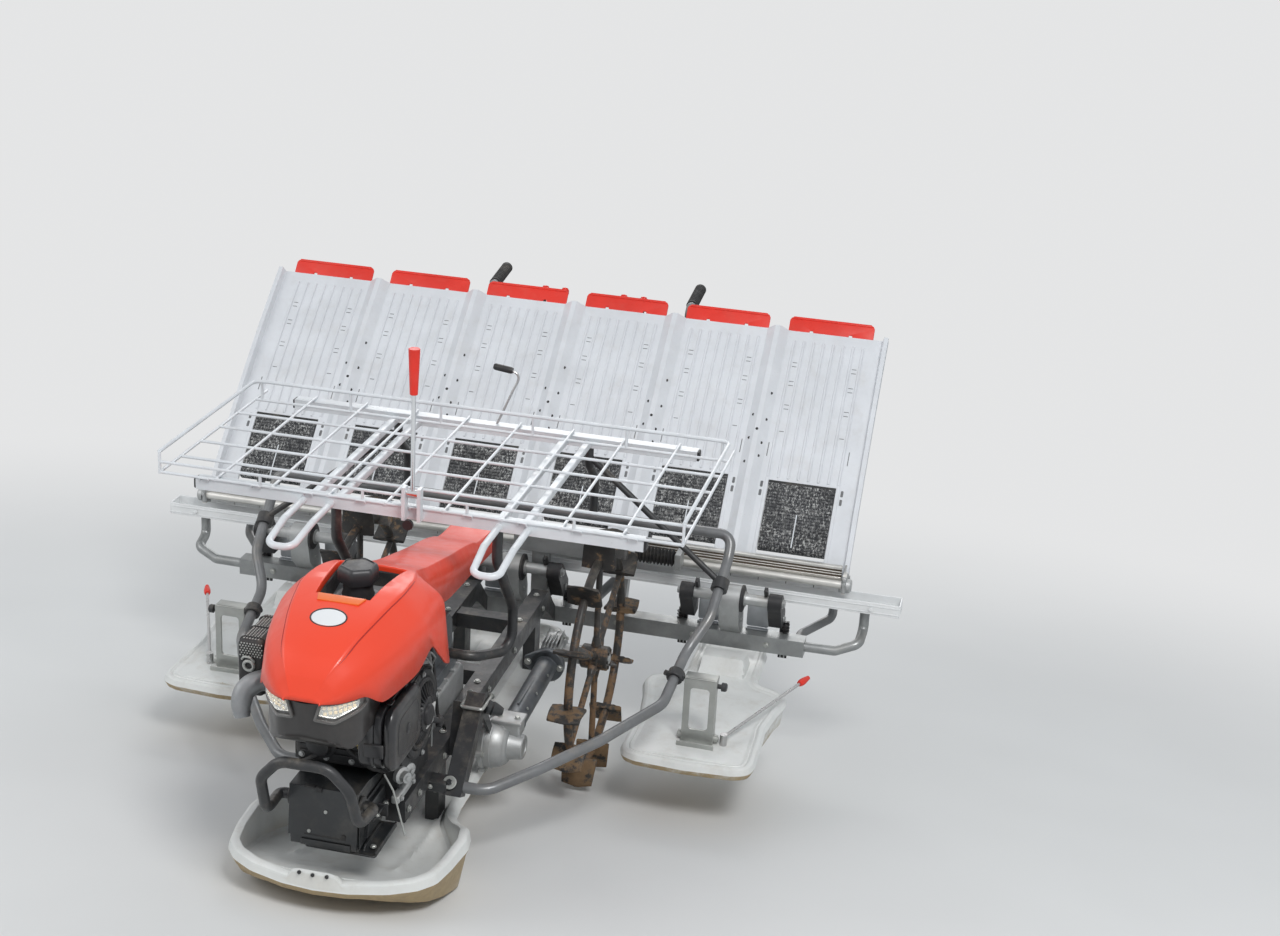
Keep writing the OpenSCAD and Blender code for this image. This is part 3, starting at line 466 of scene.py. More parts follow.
def bolt(at: Triple, axis: Triple, size: float = 8, washer: bool = True) -> Shape:
    """A hexagon bolt head with a domed top on a washer: rings of radius and height round the axis.

    Args:
        at: the face that it sits on.
        axis: which way it stands off.
        size: the hexagon's half width.
        washer: whether one lies under it.

    Returns:
        The bolt.
    """
    b = basis(axis)
    shapes = [disc(1.15 * size, size * 0.16, at, axis, 20)] if washer else []
    a = np.arange(6) * np.pi / 3
    rings = np.array([(0.86, 0.1), (0.9, 0.16), (0.9, 0.62), (0.78, 0.72), (0.3, 0.74)]) * size
    hexa = np.stack([np.cos(a), np.sin(a)], -1) @ b[:2]
    pts = rings[:, None, :1] * hexa[None] + rings[:, None, 1:] * b[2] + np.asarray(at, float)
    shapes.append(solid(pts))
    return Shape.join(shapes)


def bolts(points: list[Triple], axis: Triple, size: float = 8, washer: bool = True) -> Shape:
    """Several equal bolts along one direction."""
    return bolt((0, 0, 0), axis, size, washer).copies(np.asarray(points, float))


# Finishes


class Web:
    """The node tree of a material or a world, with short ways to add and join nodes."""

    def __init__(self, owner: bpy.types.ID) -> None:
        """Empties the owner's node tree.

        Args:
            owner: a material or a world.
        """
        self.owner = owner
        owner.use_nodes = True
        self.tree = owner.node_tree
        self.tree.nodes.clear()
        self.coords = self.add("ShaderNodeTexCoord").outputs["Object"]

    def add(self, kind: str, settings: dict | None = None, **inputs: object) -> bpy.types.Node:
        """Adds a node.

        Args:
            kind: its type name.
            settings: properties of the node itself.
            inputs: values or output sockets for its inputs, spaces in their names written as underscores.

        Returns:
            The node.
        """
        node = self.tree.nodes.new(kind)
        for key, value in (settings or {}).items():
            setattr(node, key, value)
        for key, value in inputs.items():
            name = key.replace("_", " ")
            target = node.inputs[int(key[1:])] if key[0] == "i" and key[1:].isdigit() else node.inputs[name]
            if isinstance(value, bpy.types.NodeSocket):
                self.tree.links.new(value, target)
            else:
                target.default_value = value
        return node

    def noise(self, scale: float, detail: float = 4, rough: float = 0.55, stretch: Triple = (1, 1, 1),
              spot: object = None) -> bpy.types.NodeSocket:
        """Fractal noise over the piece, stretched by a factor for each axis.

        Args:
            scale: its fineness.
            detail: how many finer layers it has.
            rough: how strong those are.
            stretch: the factor for each axis.
            spot: coordinates, if not the piece's own.

        Returns:
            A value round 0.5.
        """
        mapped = self.add("ShaderNodeMapping", Vector=spot or self.coords, Scale=stretch).outputs[0]
        return self.add("ShaderNodeTexNoise", Vector=mapped, Scale=scale, Detail=detail,
                        Roughness=rough).outputs["Fac"]

    def ramp(self, value: object, low: float, high: float,
             to: Pair = (0, 1)) -> bpy.types.NodeSocket:
        """Maps low..high to a new range, clamped and eased."""
        return self.add("ShaderNodeMapRange", {"interpolation_type": "SMOOTHSTEP"}, Value=value,
                        From_Min=low, From_Max=high, To_Min=to[0], To_Max=to[1]).outputs[0]

    def z_of(self, vector: object) -> bpy.types.NodeSocket:
        """The Z part of a vector."""
        return self.add("ShaderNodeSeparateXYZ", Vector=vector).outputs["Z"]

    def facing_up(self) -> bpy.types.NodeSocket:
        """The Z part of the surface's normal."""
        return self.z_of(self.add("ShaderNodeNewGeometry").outputs["Normal"])

    def times(self, *values: object) -> bpy.types.NodeSocket:
        """Multiplies several values.

        Args:
            values: numbers or output sockets, the first of them a socket.

        Returns:
            The product's socket.
        """
        product = values[0]
        for value in values[1:]:
            product = self.math("MULTIPLY", product, value)
        return product

    def math(self, kind: str, a: object, b: object = 0.0) -> bpy.types.NodeSocket:
        """One sum on two values."""
        return self.add("ShaderNodeMath", {"operation": kind}, i0=a, i1=b).outputs[0]

    def mix(self, factor: object, a: object, b: object) -> bpy.types.NodeSocket:
        """Blends two colours.

        Args:
            factor: the share of the second.
            a: the first colour.
            b: the second.

        Returns:
            The blended colour.
        """
        node = self.tree.nodes.new("ShaderNodeMix")
        node.data_type = "RGBA"
        for slot, value in ((0, factor), (6, a), (7, b)):
            if isinstance(value, bpy.types.NodeSocket):
                self.tree.links.new(value, node.inputs[slot])
            else:
                node.inputs[slot].default_value = value
        return node.outputs[2]


def rgba(colour: Triple, gain: float = 1.0) -> tuple[float, float, float, float]:
    """A colour with full alpha, made lighter or darker by a factor."""
    return (*(min(1.0, c * gain) for c in colour), 1.0)


@dataclass(frozen=True)
class Finish:
    """A paint, plastic, rubber or metal, with its wear and the dust or mud on it."""

    name: str
    slot: str
    colour: Triple
    rough: float = 0.5
    metal: float = 0.0
    coat: float = 0.0
    mottle: float = 0.12
    mottle_scale: float = 9.0
    grain: float = 0.05
    grain_scale: float = 900.0
    specks: float = 0.0
    flecks: float = 0.0
    fleck_colour: Triple = (0.62, 0.62, 0.6)
    dust: float = 0.25
    mud: float = 0.0
    mud_height: float = 0.35
    mud_under: bool = False
    mud_reach: float = 1.1
    mud_patchy: float = 1.0
    streak: Triple = (1, 1, 1)
    dust_colour: Triple = (0.42, 0.36, 0.28)
    mud_colour: Triple = (0.2, 0.13, 0.075)
    alpha: float = 1.0
    transmission: float = 0.0
    glow: float = 0.0

    def colours(self, web: Web) -> tuple[object, object]:
        """Builds colour and roughness: a mottled base, dust, specks, flecks, and mud that thins with height.

        Args:
            web: the material's nodes.

        Returns:
            The colour socket and the roughness socket.
        """
        broad = web.noise(self.mottle_scale, 5, 0.6)
        colour = web.mix(web.ramp(broad, 0.3, 0.7), rgba(self.colour, 1 - self.mottle),
                         rgba(self.colour, 1 + self.mottle * 0.6))
        rough = web.ramp(web.noise(38, 4), 0.25, 0.75, (self.rough * 0.82, min(1.0, self.rough * 1.18)))
        if self.dust > 0:
            patches = web.ramp(web.noise(17, 7, 0.68, self.streak), 0.46, 0.8)
            film = web.times(patches, self.dust, web.ramp(web.facing_up(), -0.6, 1.0, (0.35, 1.2)))
            colour = web.mix(film, colour, rgba(self.dust_colour))
            rough = web.math("MAXIMUM", rough, web.times(film, 0.9))
        if self.specks > 0:
            dots = web.add("ShaderNodeTexVoronoi", Vector=web.coords, Scale=120.0).outputs["Distance"]
            mask = web.times(web.ramp(dots, 0.16, 0.05), web.ramp(web.noise(21, 3), 0.5, 0.72))
            colour = web.mix(web.times(mask, self.specks), colour, rgba(self.mud_colour, 1.3))
        if self.flecks > 0:
            fine = web.noise(150, 5, 0.8, (1.4, 0.7, 0.7))
            patch = web.ramp(web.noise(14, 3), 0.3, 0.6, (0.25, 1))
            share = web.times(web.ramp(fine, 0.5, 0.6), patch, self.flecks)
            colour = web.mix(share, colour, rgba(self.fleck_colour))
        if self.mud > 0:
            low = web.ramp(web.z_of(web.coords), self.mud_height, 0.02)
            patchy = web.times(web.noise(26, 8, 0.7), self.mud_patchy)
            uneven = web.math("SUBTRACT", patchy, 0.12 + 0.5 * self.mud_patchy)
            cover = web.math("ADD", web.times(low, self.mud_reach), uneven)
            cover = web.times(web.ramp(cover, 0.12, 0.62), self.mud)
            if self.mud_under:
                cover = web.times(cover, web.ramp(web.facing_up(), 0.12, -0.3, (0.04, 1)))
            tone = web.mix(web.noise(60, 6, 0.7), rgba(self.mud_colour, 0.62), rgba(self.mud_colour, 1.5))
            colour = web.mix(cover, colour, tone)
            rough = web.math("MAXIMUM", rough, web.times(cover, 0.92))
        return colour, rough

    def relief(self, web: Web) -> object:
        """The bump: fine grain under a slow unevenness.

        Args:
            web: the material's nodes.

        Returns:
            The normal.
        """
        fine, slow = web.times(web.noise(self.grain_scale, 3), 0.6), web.times(web.noise(24, 4), 0.4)
        strength = min(1.0, self.grain * 4)
        return web.add("ShaderNodeBump", Strength=strength, Distance=BUMP_M,
                       Height=web.math("ADD", fine, slow)).outputs[0]

    def material(self) -> bpy.types.Material:
        """Makes the material, or hands back the one already made under this name."""
        ready = bpy.data.materials.get(self.name)
        if ready:
            return ready
        web = Web(bpy.data.materials.new(self.name))
        colour, rough = self.colours(web)
        values = dict(Base_Color=colour, Roughness=rough, Metallic=self.metal, Normal=self.relief(web))
        if self.coat:
            values |= dict(Coat_Weight=self.coat, Coat_Roughness=COAT_ROUGHNESS)
        if self.alpha < 1:
            values["Alpha"] = self.alpha
        if self.transmission:
            values["Transmission_Weight"] = self.transmission
        if self.glow:
            values |= dict(Emission_Color=rgba(LAMP_GLOW), Emission_Strength=self.glow)
        shader = web.add("ShaderNodeBsdfPrincipled", **values)
        web.add("ShaderNodeOutputMaterial", Surface=shader.outputs[0])
        return web.owner


class Paint(Enum):
    """The machine's finishes."""

    FLOAT = Finish("float_plastic", "float_white", (0.76, 0.77, 0.75), 0.42, coat=0.1, mottle=0.05, dust=0.3,
                   specks=0.25, mud=0.95, mud_height=0.3, mud_colour=(0.34, 0.25, 0.13), mud_under=True)
    PLATFORM = Finish("platform_plastic", "platform_white", (0.74, 0.755, 0.78), 0.36, mottle=0.05, dust=0.16,
                      specks=0.3)
    FRAME = Finish("frame_paint", "frame_black", (0.025, 0.026, 0.028), 0.42, mottle=0.25, dust=0.3, coat=0.1)
    TUBE = Finish("tube_paint", "tube_grey", (0.19, 0.195, 0.2), 0.36, metal=0.4, mottle=0.2, dust=0.25)
    CASE = Finish("cast_case", "case_aluminium", (0.42, 0.43, 0.43), 0.48, metal=0.75, mottle=0.2, grain=0.16,
                  dust=0.3, grain_scale=420)
    ENGINE = Finish("engine_paint", "engine_grey", (0.035, 0.036, 0.038), 0.5, metal=0.3, mottle=0.3,
                    dust=0.2)
    COVER = Finish("black_plastic", "cover_black", (0.018, 0.018, 0.02), 0.46, mottle=0.2, grain=0.12,
                   dust=0.2)
    SHIELD = Finish("heat_shield", "muffler_black", (0.03, 0.03, 0.031), 0.6, metal=0.2, mottle=0.3,
                    dust=0.25)
    DUCT = Finish("duct_metal", "duct_grey", (0.34, 0.35, 0.36), 0.5, metal=0.5, mottle=0.2, dust=0.2)
    BONNET = Finish("bonnet_plastic", "bonnet_red", (0.86, 0.058, 0.018), 0.38, coat=0.22, mottle=0.0,
                     grain=0.0, dust=0.0)
    SILL = Finish("sill_orange", "bonnet_red", (0.85, 0.16, 0.02), 0.34, coat=0.5, mottle=0.04, dust=0.0)
    # Painted shade for the slots and ticks pressed in the platform.
    MARK = Finish("pressed_mark", "platform_white", (0.16, 0.165, 0.17), 0.6, mottle=0.3, dust=0.2)
    # Painted shadow: the dark red line drawn along each crease of the bonnet's crown.
    CREASE = Finish("bonnet_crease", "bonnet_red", (0.42, 0.014, 0.006), 0.5, mottle=0.0, grain=0.0, dust=0.0)
    MASK = Finish("mask_plastic", "cover_black", (0.03, 0.027, 0.026), 0.34, coat=0.25, mottle=0.12,
                  grain=0.05, dust=0.08)
    CAP = Finish("cap_plastic", "cover_black", (0.03, 0.03, 0.033), 0.4, mottle=0.15, grain=0.08, dust=0.25)
    PLATE_DULL = Finish("label_white", "cover_black", (0.6, 0.6, 0.58), 0.5, mottle=0.08, dust=0.15)
    GLOSS = Finish("gloss_black", "cover_black", (0.016, 0.016, 0.018), 0.34, coat=0.35, mottle=0.2,
                   grain=0.05, dust=0.12)
    PANEL = Finish("sheet_black", "frame_black", (0.02, 0.022, 0.024), 0.36, coat=0.2, mottle=0.2, dust=0.14)
    GALV = Finish("galvanised", "tube_grey", (0.42, 0.43, 0.41), 0.36, metal=0.6, mottle=0.16, dust=0.15)
    DARKTUBE = Finish("case_tube_paint", "case_aluminium", (0.11, 0.12, 0.13), 0.36, metal=0.35, mottle=0.2,
                      dust=0.2)
    BRASS = Finish("carburettor_brass", "engine_grey", (0.5, 0.4, 0.2), 0.35, metal=0.75, mottle=0.25,
                   dust=0.1)
    # Painted shade: the rail's brown, darkened for its grooves and for the gaps behind the gates.
    GROOVE = Finish("rail_groove", "rail_metal", (0.1, 0.075, 0.055), 0.7, mottle=0.3, dust=0.2)
    PLATE = Finish("plate_white", "bonnet_red", (0.8, 0.81, 0.82), 0.22, coat=0.5, mottle=0.03, dust=0.03)
    BEZEL = Finish("lamp_bezel", "cover_black", (0.12, 0.115, 0.11), 0.3, coat=0.3, mottle=0.12, dust=0.1)
    MIRROR = Finish("lamp_mirror", "lamp_glass", (0.72, 0.7, 0.64), 0.18, metal=0.85, mottle=0.1, dust=0.0)
    DIODE = Finish("lamp_diode", "lamp_glass", (0.9, 0.72, 0.42), 0.3, mottle=0.05, dust=0.0, glow=0.22)
    LENS = Finish("lamp_lens", "lamp_glass", (0.9, 0.94, 0.98), 0.06, alpha=0.3, transmission=0.7,
                  mottle=0.02, dust=0.0)
    RACK = Finish("rack_coating", "rack_white", (0.72, 0.745, 0.77), 0.32, coat=0.15, mottle=0.08, dust=0.15)
    RAIL = Finish("rail_coating", "rail_white", (0.82, 0.83, 0.83), 0.38, mottle=0.06, dust=0.12, specks=0.15)
    METAL = Finish("worn_metal", "rail_metal", (0.66, 0.65, 0.62), 0.34, metal=0.7, mottle=0.15, dust=0.2)
    GATE = Finish("gate_plastic", "platform_white", (0.84, 0.845, 0.84), 0.4, mottle=0.06, dust=0.1,
                  specks=0.2)
    BEAM = Finish("beam_paint", "tube_grey", (0.3, 0.31, 0.31), 0.36, metal=0.5, mottle=0.28, dust=0.2)
    SHEET = Finish("guard_sheet", "tube_grey", (0.44, 0.46, 0.48), 0.4, metal=0.4, mottle=0.15, dust=0.2)
    BELT = Finish("belt_ribbed", "belt_rubber", (0.035, 0.036, 0.04), 0.7, mottle=0.4, dust=0.3, flecks=0.8,
                  dust_colour=(0.42, 0.42, 0.4), streak=(5, 0.8, 0.8))
    BOOT = Finish("boot_bellows", "boot_rubber", (0.015, 0.015, 0.016), 0.6, dust=0.2)
    GRIP = Finish("grip_foam", "grip_rubber", (0.02, 0.02, 0.02), 0.75, grain=0.2, dust=0.2)
    EDGING = Finish("edging_plastic", "edging_red", (0.78, 0.03, 0.015), 0.4, mottle=0.08, dust=0.1)
    CHROME = Finish("bright_chrome", "pole_chrome", (0.75, 0.76, 0.78), 0.14, metal=1.0, mottle=0.05,
                    dust=0.06)
    ROD = Finish("rod_steel", "marker_steel", (0.5, 0.5, 0.5), 0.3, metal=0.9, dust=0.1)
    WHEEL = Finish("wheel_paint", "wheel_steel", (0.035, 0.033, 0.031), 0.42, mottle=0.4, dust=0.2, mud=0.95,
                   mud_height=0.7, mud_colour=(0.19, 0.115, 0.062), mud_reach=0.62, mud_patchy=4.0)
    LUG = Finish("lug_moulded", "lug_rubber", (0.02, 0.019, 0.018), 0.55, mottle=0.4, dust=0.2, mud=0.95,
                 mud_height=0.7, mud_colour=(0.18, 0.115, 0.062), mud_reach=0.66, mud_patchy=4.0)


def shade(mesh: bpy.types.Mesh, degrees: float) -> None:
    """Shades a mesh smooth, save for edges sharper than a limit."""
    mesh.shade_smooth()
    mesh.set_sharp_from_angle(angle=math.radians(degrees))


def linked(name: str, data: bpy.types.ID) -> bpy.types.Object:
    """Makes an object and links it to the scene.

    Args:
        name: the object's name.
        data: its mesh, light or camera.

    Returns:
        The object.
    """
    obj = bpy.data.objects.new(name, data)
    bpy.context.scene.collection.objects.link(obj)
    return obj


@dataclass
class Section:
    """A part of the machine that makes its own pieces, riding on one CAD body unless a piece says another."""

    stance: Stance
    ride: str = "machine"

    def show(self, shape: Shape, name: str, paint: Paint, *replaces: str, ride: str = "",
             smooth: float = 32) -> bpy.types.Object:
        """Makes a shape into a piece of the scene.

        Args:
            shape: the mesh in machine millimetres.
            name: the piece's name.
            paint: its finish.
            replaces: CAD nodes that it stands for.
            ride: the CAD body that it rides on, if it isn't the section's.
            smooth: edges sharper than this many degrees stay sharp.

        Returns:
            The new object.
        """
        mesh = bpy.data.meshes.new(name)
        faces = [row for equal in shape.faces for row in equal.tolist()]
        mesh.from_pydata(self.stance.place(shape.verts), [], faces)
        work = bmesh.new()
        work.from_mesh(mesh)
        bmesh.ops.remove_doubles(work, verts=work.verts, dist=MERGE_M)
        work.to_mesh(mesh)
        work.free()
        mesh.validate()
        shade(mesh, smooth)
        mesh.update()
        obj = linked(name, mesh)
        mesh.materials.append(paint.value.material())
        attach(obj, ride or self.ride)
        if replaces:
            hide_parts(*replaces)
        LOG.info("%s: %d faces on %s", name, len(faces), ride or self.ride)
        return obj


def smooth_columns(table: Array, at: Array) -> Array:
    """Runs a smooth curve through every column of a table.

    Between two rows each column is a cubic. Its slope at a row is the weighted harmonic mean of the slopes on
    both sides, and 0 where they differ in sign, so the curve never overshoots.

    Args:
        table: rows of a parameter, rising, and its values.
        at: the parameters asked for.

    Returns:
        One row of values for each parameter.
    """
    x, y = table[:, 0], table[:, 1:]
    h = np.diff(x)[:, None]
    d = np.diff(y, axis=0) / h
    before, after = 2 * h[1:] + h[:-1], h[1:] + 2 * h[:-1]
    same = d[1:] * d[:-1] > 1e-12
    safe = np.where(same, d[1:], 1.0), np.where(same, d[:-1], 1.0)
    mean = np.where(same, (before + after) / (before / safe[1] + after / safe[0]), 0.0)
    slope = np.vstack([d[:1], mean, d[-1:]])
    i = np.clip(np.searchsorted(x, at, "right") - 1, 0, len(x) - 2)
    span = (x[i + 1] - x[i])[:, None]
    t = (np.asarray(at, float)[:, None] - x[i][:, None]) / span
    return ((1 + 2 * t) * (1 - t)**2 * y[i] + t * (1 - t)**2 * span * slope[i]
            + t**2 * (3 - 2 * t) * y[i + 1] + t**2 * (t - 1) * span * slope[i + 1])


def eased(corners: Array, reach: tuple[float, ...], steps: int = 5) -> Array:
    """Rounds the corners of many polylines at once.

    Each inner corner C becomes the quadratic curve (1-t)^2 A + 2t(1-t) C + t^2 B, where A and B lie on its
    two sides, `reach` away from it and never past 0.45 of a side.

    Args:
        corners: (n, k, 3) polylines.
        reach: one distance for each of the k corners; 0 keeps a corner sharp.
        steps: stretches in each rounding.

    Returns:
        (n, m, 3) smooth lines.
    """
    side = np.diff(corners, axis=1)
    length = np.maximum(np.linalg.norm(side, axis=-1), 1e-9)
    along = side / length[..., None]
    t = np.linspace(0, 1, steps + 1)[None, :, None]
    out = [corners[:, :1]]
    for i in range(1, corners.shape[1] - 1):
        c = corners[:, i:i + 1]
        if reach[i] == 0:
            out.append(c)
            continue
        cut = np.minimum(reach[i], 0.45 * np.minimum(length[:, i - 1], length[:, i]))[:, None, None]
        a, b = c - along[:, i - 1:i] * cut, c + along[:, i:i + 1] * cut
        out.append((1 - t)**2 * a + 2 * t * (1 - t) * c + t**2 * b)
    out.append(corners[:, -1:])
    return np.concatenate(out, 1)


def step_up(value: Array, low: float, high: float) -> Array:
    """Rises smoothly from 0 at `low` to 1 at `high`: 3t^2 - 2t^3."""
    t = np.clip((value - low) / (high - low), 0, 1)
    return t * t * (3 - 2 * t)


def mirrored(half: Array) -> Array:
    """A half outline from one middle point to the other, joined to its mirror, counter-clockwise."""
    half = np.asarray(half, float)
    return np.vstack([half, half[-2:0:-1] * np.array([-1.0, 1.0])])


def resampled(path: Array, count: int, closed: bool = False) -> Array:
    """Points at equal lengths along a line.

    Args:
        path: the line's points.
        count: how many are wanted.
        closed: whether its end joins its start.

    Returns:
        The new points.
    """
    p = np.asarray(path, float)
    if closed:
        p = np.vstack([p, p[:1]])
    far = np.concatenate([[0], np.cumsum(np.linalg.norm(np.diff(p, axis=0), axis=1))])
    at = np.linspace(0, far[-1], count, endpoint=not closed)
    return np.stack([np.interp(at, far, p[:, k]) for k in range(p.shape[1])], -1)


# Floats


@dataclass
class Float:
    """A moulded float: a hull that narrows to its sole, a rounded rim and a sunk tray."""

    half: list[Pair]
    sole: list[Pair]
    rim: list[Pair]
    rim_w: float = 26.0
    tray: float = 40.0
    hull_in: float = 34.0
    band: float = 36.0
    centre: float = 0.0
    lip: Triple = (0.0, 0.0, 0.0)
    ridges: tuple[Triple, ...] = ()
    count: int = 150
    share: float = 0.62
    dip: float = 8.0
    ceiling: float = 1000.0
    crown: float = 0.0
    rungs: int = 40

    def rim_height(self, x: Array, y: Array) -> Array:
        """The rim's line along the float, with a bump of `lip` half width, height and start at the nose.

        Args:
            x: points across the float.
            y: points along it.

        Returns:
            Their heights.
        """
        z = self.line(self.rim, y)
        wide, high, start = self.lip
        if high:
            z = z + high * (1 - step_up(np.abs(x), wide, wide + 14)) * (1 - step_up(y, start, start + 40))
        return z

    def line(self, heights: list[Pair], y: Array) -> Array:
        """A smooth line of heights along the float."""
        return smooth_columns(np.array(heights), y.ravel())[:, 0].reshape(y.shape)

    def fill(self, ring: Array, relief: bool) -> Shape:
        """Closes a ring with straight rungs between its two sides.

        A rung's height is mixed from its ends. Where `relief` is set, the tray's ridges and its crown
        4 crown t (1 - t) are added.

        Args:
            ring: (n, 3) closed ring whose first point is the nose's middle.
            relief: whether the ridges are raised on it.

        Returns:
            The filling, facing up.
        """
        m = len(ring) // 2
        right, left = ring[1:m], ring[:m:-1]
        steps = self.rungs + 1
        t = np.linspace(0, 1, steps)[None, :, None]
        rungs = left[:, None] * (1 - t) + right[:, None] * t
        if relief:
            for where, start, end in self.ridges:
                near = np.exp(-((np.abs(rungs[..., 0]) - where) / 9)**2)
                rungs[..., 2] += 7 * near * step_up(rungs[..., 1], start, start + 40) * (
                    1 - step_up(rungs[..., 1], end - 40, end))
            rungs[..., 2] += self.crown * 4 * (t * (1 - t))[..., 0]
        body = grid(rungs.transpose(1, 0, 2))
        rows = len(rungs)
        edge = np.arange(steps) * rows
        tip = rows * steps
        first = np.stack([np.full(self.rungs, tip), edge[1:], edge[:-1]], -1)
        last = np.stack([np.full(self.rungs, tip + 1), edge[:-1] + rows - 1, edge[1:] + rows - 1], -1)
        verts = np.vstack([body.verts, ring[:1], ring[m:m + 1]])
        return Shape(verts, [body.faces[0], first, last]).reversed()

    def shape(self) -> Shape:
        """Sweeps the rim's section round the outline, then fills tray and sole.

        The section's points are (inset, height): in at the sole, out at the band's lower edge, round over the
        rim and down into the tray.

        Returns:
            The closed float.
        """
        line = rounded_path([(x, y, 0) for x, y in self.half], 46, 5)[:, :2]
        outline = mirrored(resampled(line, self.count))
        inset = np.array([self.hull_in, self.hull_in * 0.5, 6, 0.8, 0, 1.5, 3, 5, 9, 14, self.rim_w - 7,
                          self.rim_w - 2, self.rim_w + 1, self.rim_w + 4, self.rim_w + 12])
        rings = outset(outline, -inset)
        x, y = rings[..., 0], rings[..., 1]
        sole, rim, plain = self.line(self.sole, y), self.rim_height(x, y), self.line(self.rim, y)
        low = np.minimum(plain - self.band, sole + self.share * (plain - sole))
        floor = np.minimum(sole + self.tray, self.ceiling)
        up = [sole, sole + 2, low - 14, low - 3, low, low + 4, rim - 10, rim - 4, rim - 0.8, rim, rim,
              rim - 1.5, rim - self.dip, floor + min(5, self.dip - 2), floor]
        pts = np.stack([x, y, np.stack([v[k] for k, v in enumerate(up)])], -1)
        wall, top, base = grid(pts, wrap_v=True), self.fill(pts[-1], True), self.fill(pts[0], False)
        return (wall.reversed() + top + base.reversed()).moved((self.centre, 0, 0))


@dataclass
class Floats(Section):
    """The centre float and the two side floats, with their small fittings."""
    def centre(self) -> None:
        """The long centre float, its tray ridges, and dark studs of painted shade for the three holes in its
        lip.
        """
        nose, low, bend = -1111.0, -685.0, 620.0
        turn = math.radians(21)
        arc = [(low - bend * math.sin(turn * k / 5), bend * (1 - math.cos(turn * k / 5)))
               for k in range(5, 0, -1)]
        tip = arc[0][1] + (arc[0][0] - nose + 10) * math.tan(turn)
        hull = Float(half=[(0, nose), (70, nose + 7), (150, nose + 32), (204, nose + 66), (233, nose + 104),
                           (246, nose + 171), (252, nose + 261), (240, nose + 321), (182, nose + 431),
                           (156, nose + 476), (150, nose + 531), (150, 340), (134, 380), (90, 400), (0, 400)],
                     sole=[(nose - 10, tip)] + arc + [(low, 0), (420, 0)],
                     rim=[(nose - 20, 156), (nose + 60, 152), (nose + 280, 147), (nose + 450, 76),
                          (nose + 520, 70), (430, 70)], lip=(44, 22, nose + 2),
                     ridges=((112, -960, -560), (66, -640, 300)), hull_in=44, band=22, share=0.78)
        self.show(hull.shape(), "centre_float_hull", Paint.FLOAT, "centre_float")
        # Painted shade: three dark studs on the lip stand for its holes.
        self.show(bolts([(-30, -1105.5, 168), (0, -1107.5, 168), (30, -1105.5, 168)], (0, -1, 0.2), 5, False),
                  "lip_holes", Paint.COVER)

    def sides(self) -> None:
        """Both side floats, with the seat of the planting beam as a raised hump behind."""
        half = [(0, -253), (122, -245), (160, -228), (167, -190), (165, -70), (162, -10), (176, 90),
                (190, 150), (186, 190), (150, 212), (112, 224), (98, 250), (96, 420), (80, 456), (46, 470),
                (0, 470)]
        sole = [(-300, 74), (-277, 65), (-223, 45), (-166, 29), (-109, 16), (-53, 7), (3, 2), (60, 0),
                (500, 0)]
        rim = [(-300, 70), (500, 70)]
        left = Float(half=half, sole=sole, rim=rim, rim_w=20, tray=64, hull_in=22, band=17, centre=600,
                     count=110, share=0.78, dip=4.0, ceiling=67.0, crown=5.0)
        foot = np.array([[-62, 238, 60], [62, 238, 60], [62, 342, 60], [-62, 342, 60]], float)
        head = np.array([[-54, 262, 112], [54, 262, 112], [54, 314, 112], [-54, 314, 112]], float)
        rings = np.stack([resampled(foot * (1 - k) + head * k, 40, True)
                          for k in (0, 0.3, 0.6, 0.9, 0.97, 1.0)])
        middle = [0, 288, 112]
        rings[-1] = (rings[-1] - middle) * [0.9, 0.84, 1] + middle
        hump = solid(rings).moved((600, 0, 0))
        pair = left.shape() + hump
        self.show(pair, "side_float_left_hull", Paint.FLOAT, "side_float_left")
        self.show(pair.flipped(), "side_float_right_hull", Paint.FLOAT, "side_float_right")

    def build(self) -> None:
        """Makes all three floats."""
        self.centre()
        self.sides()


# Front end


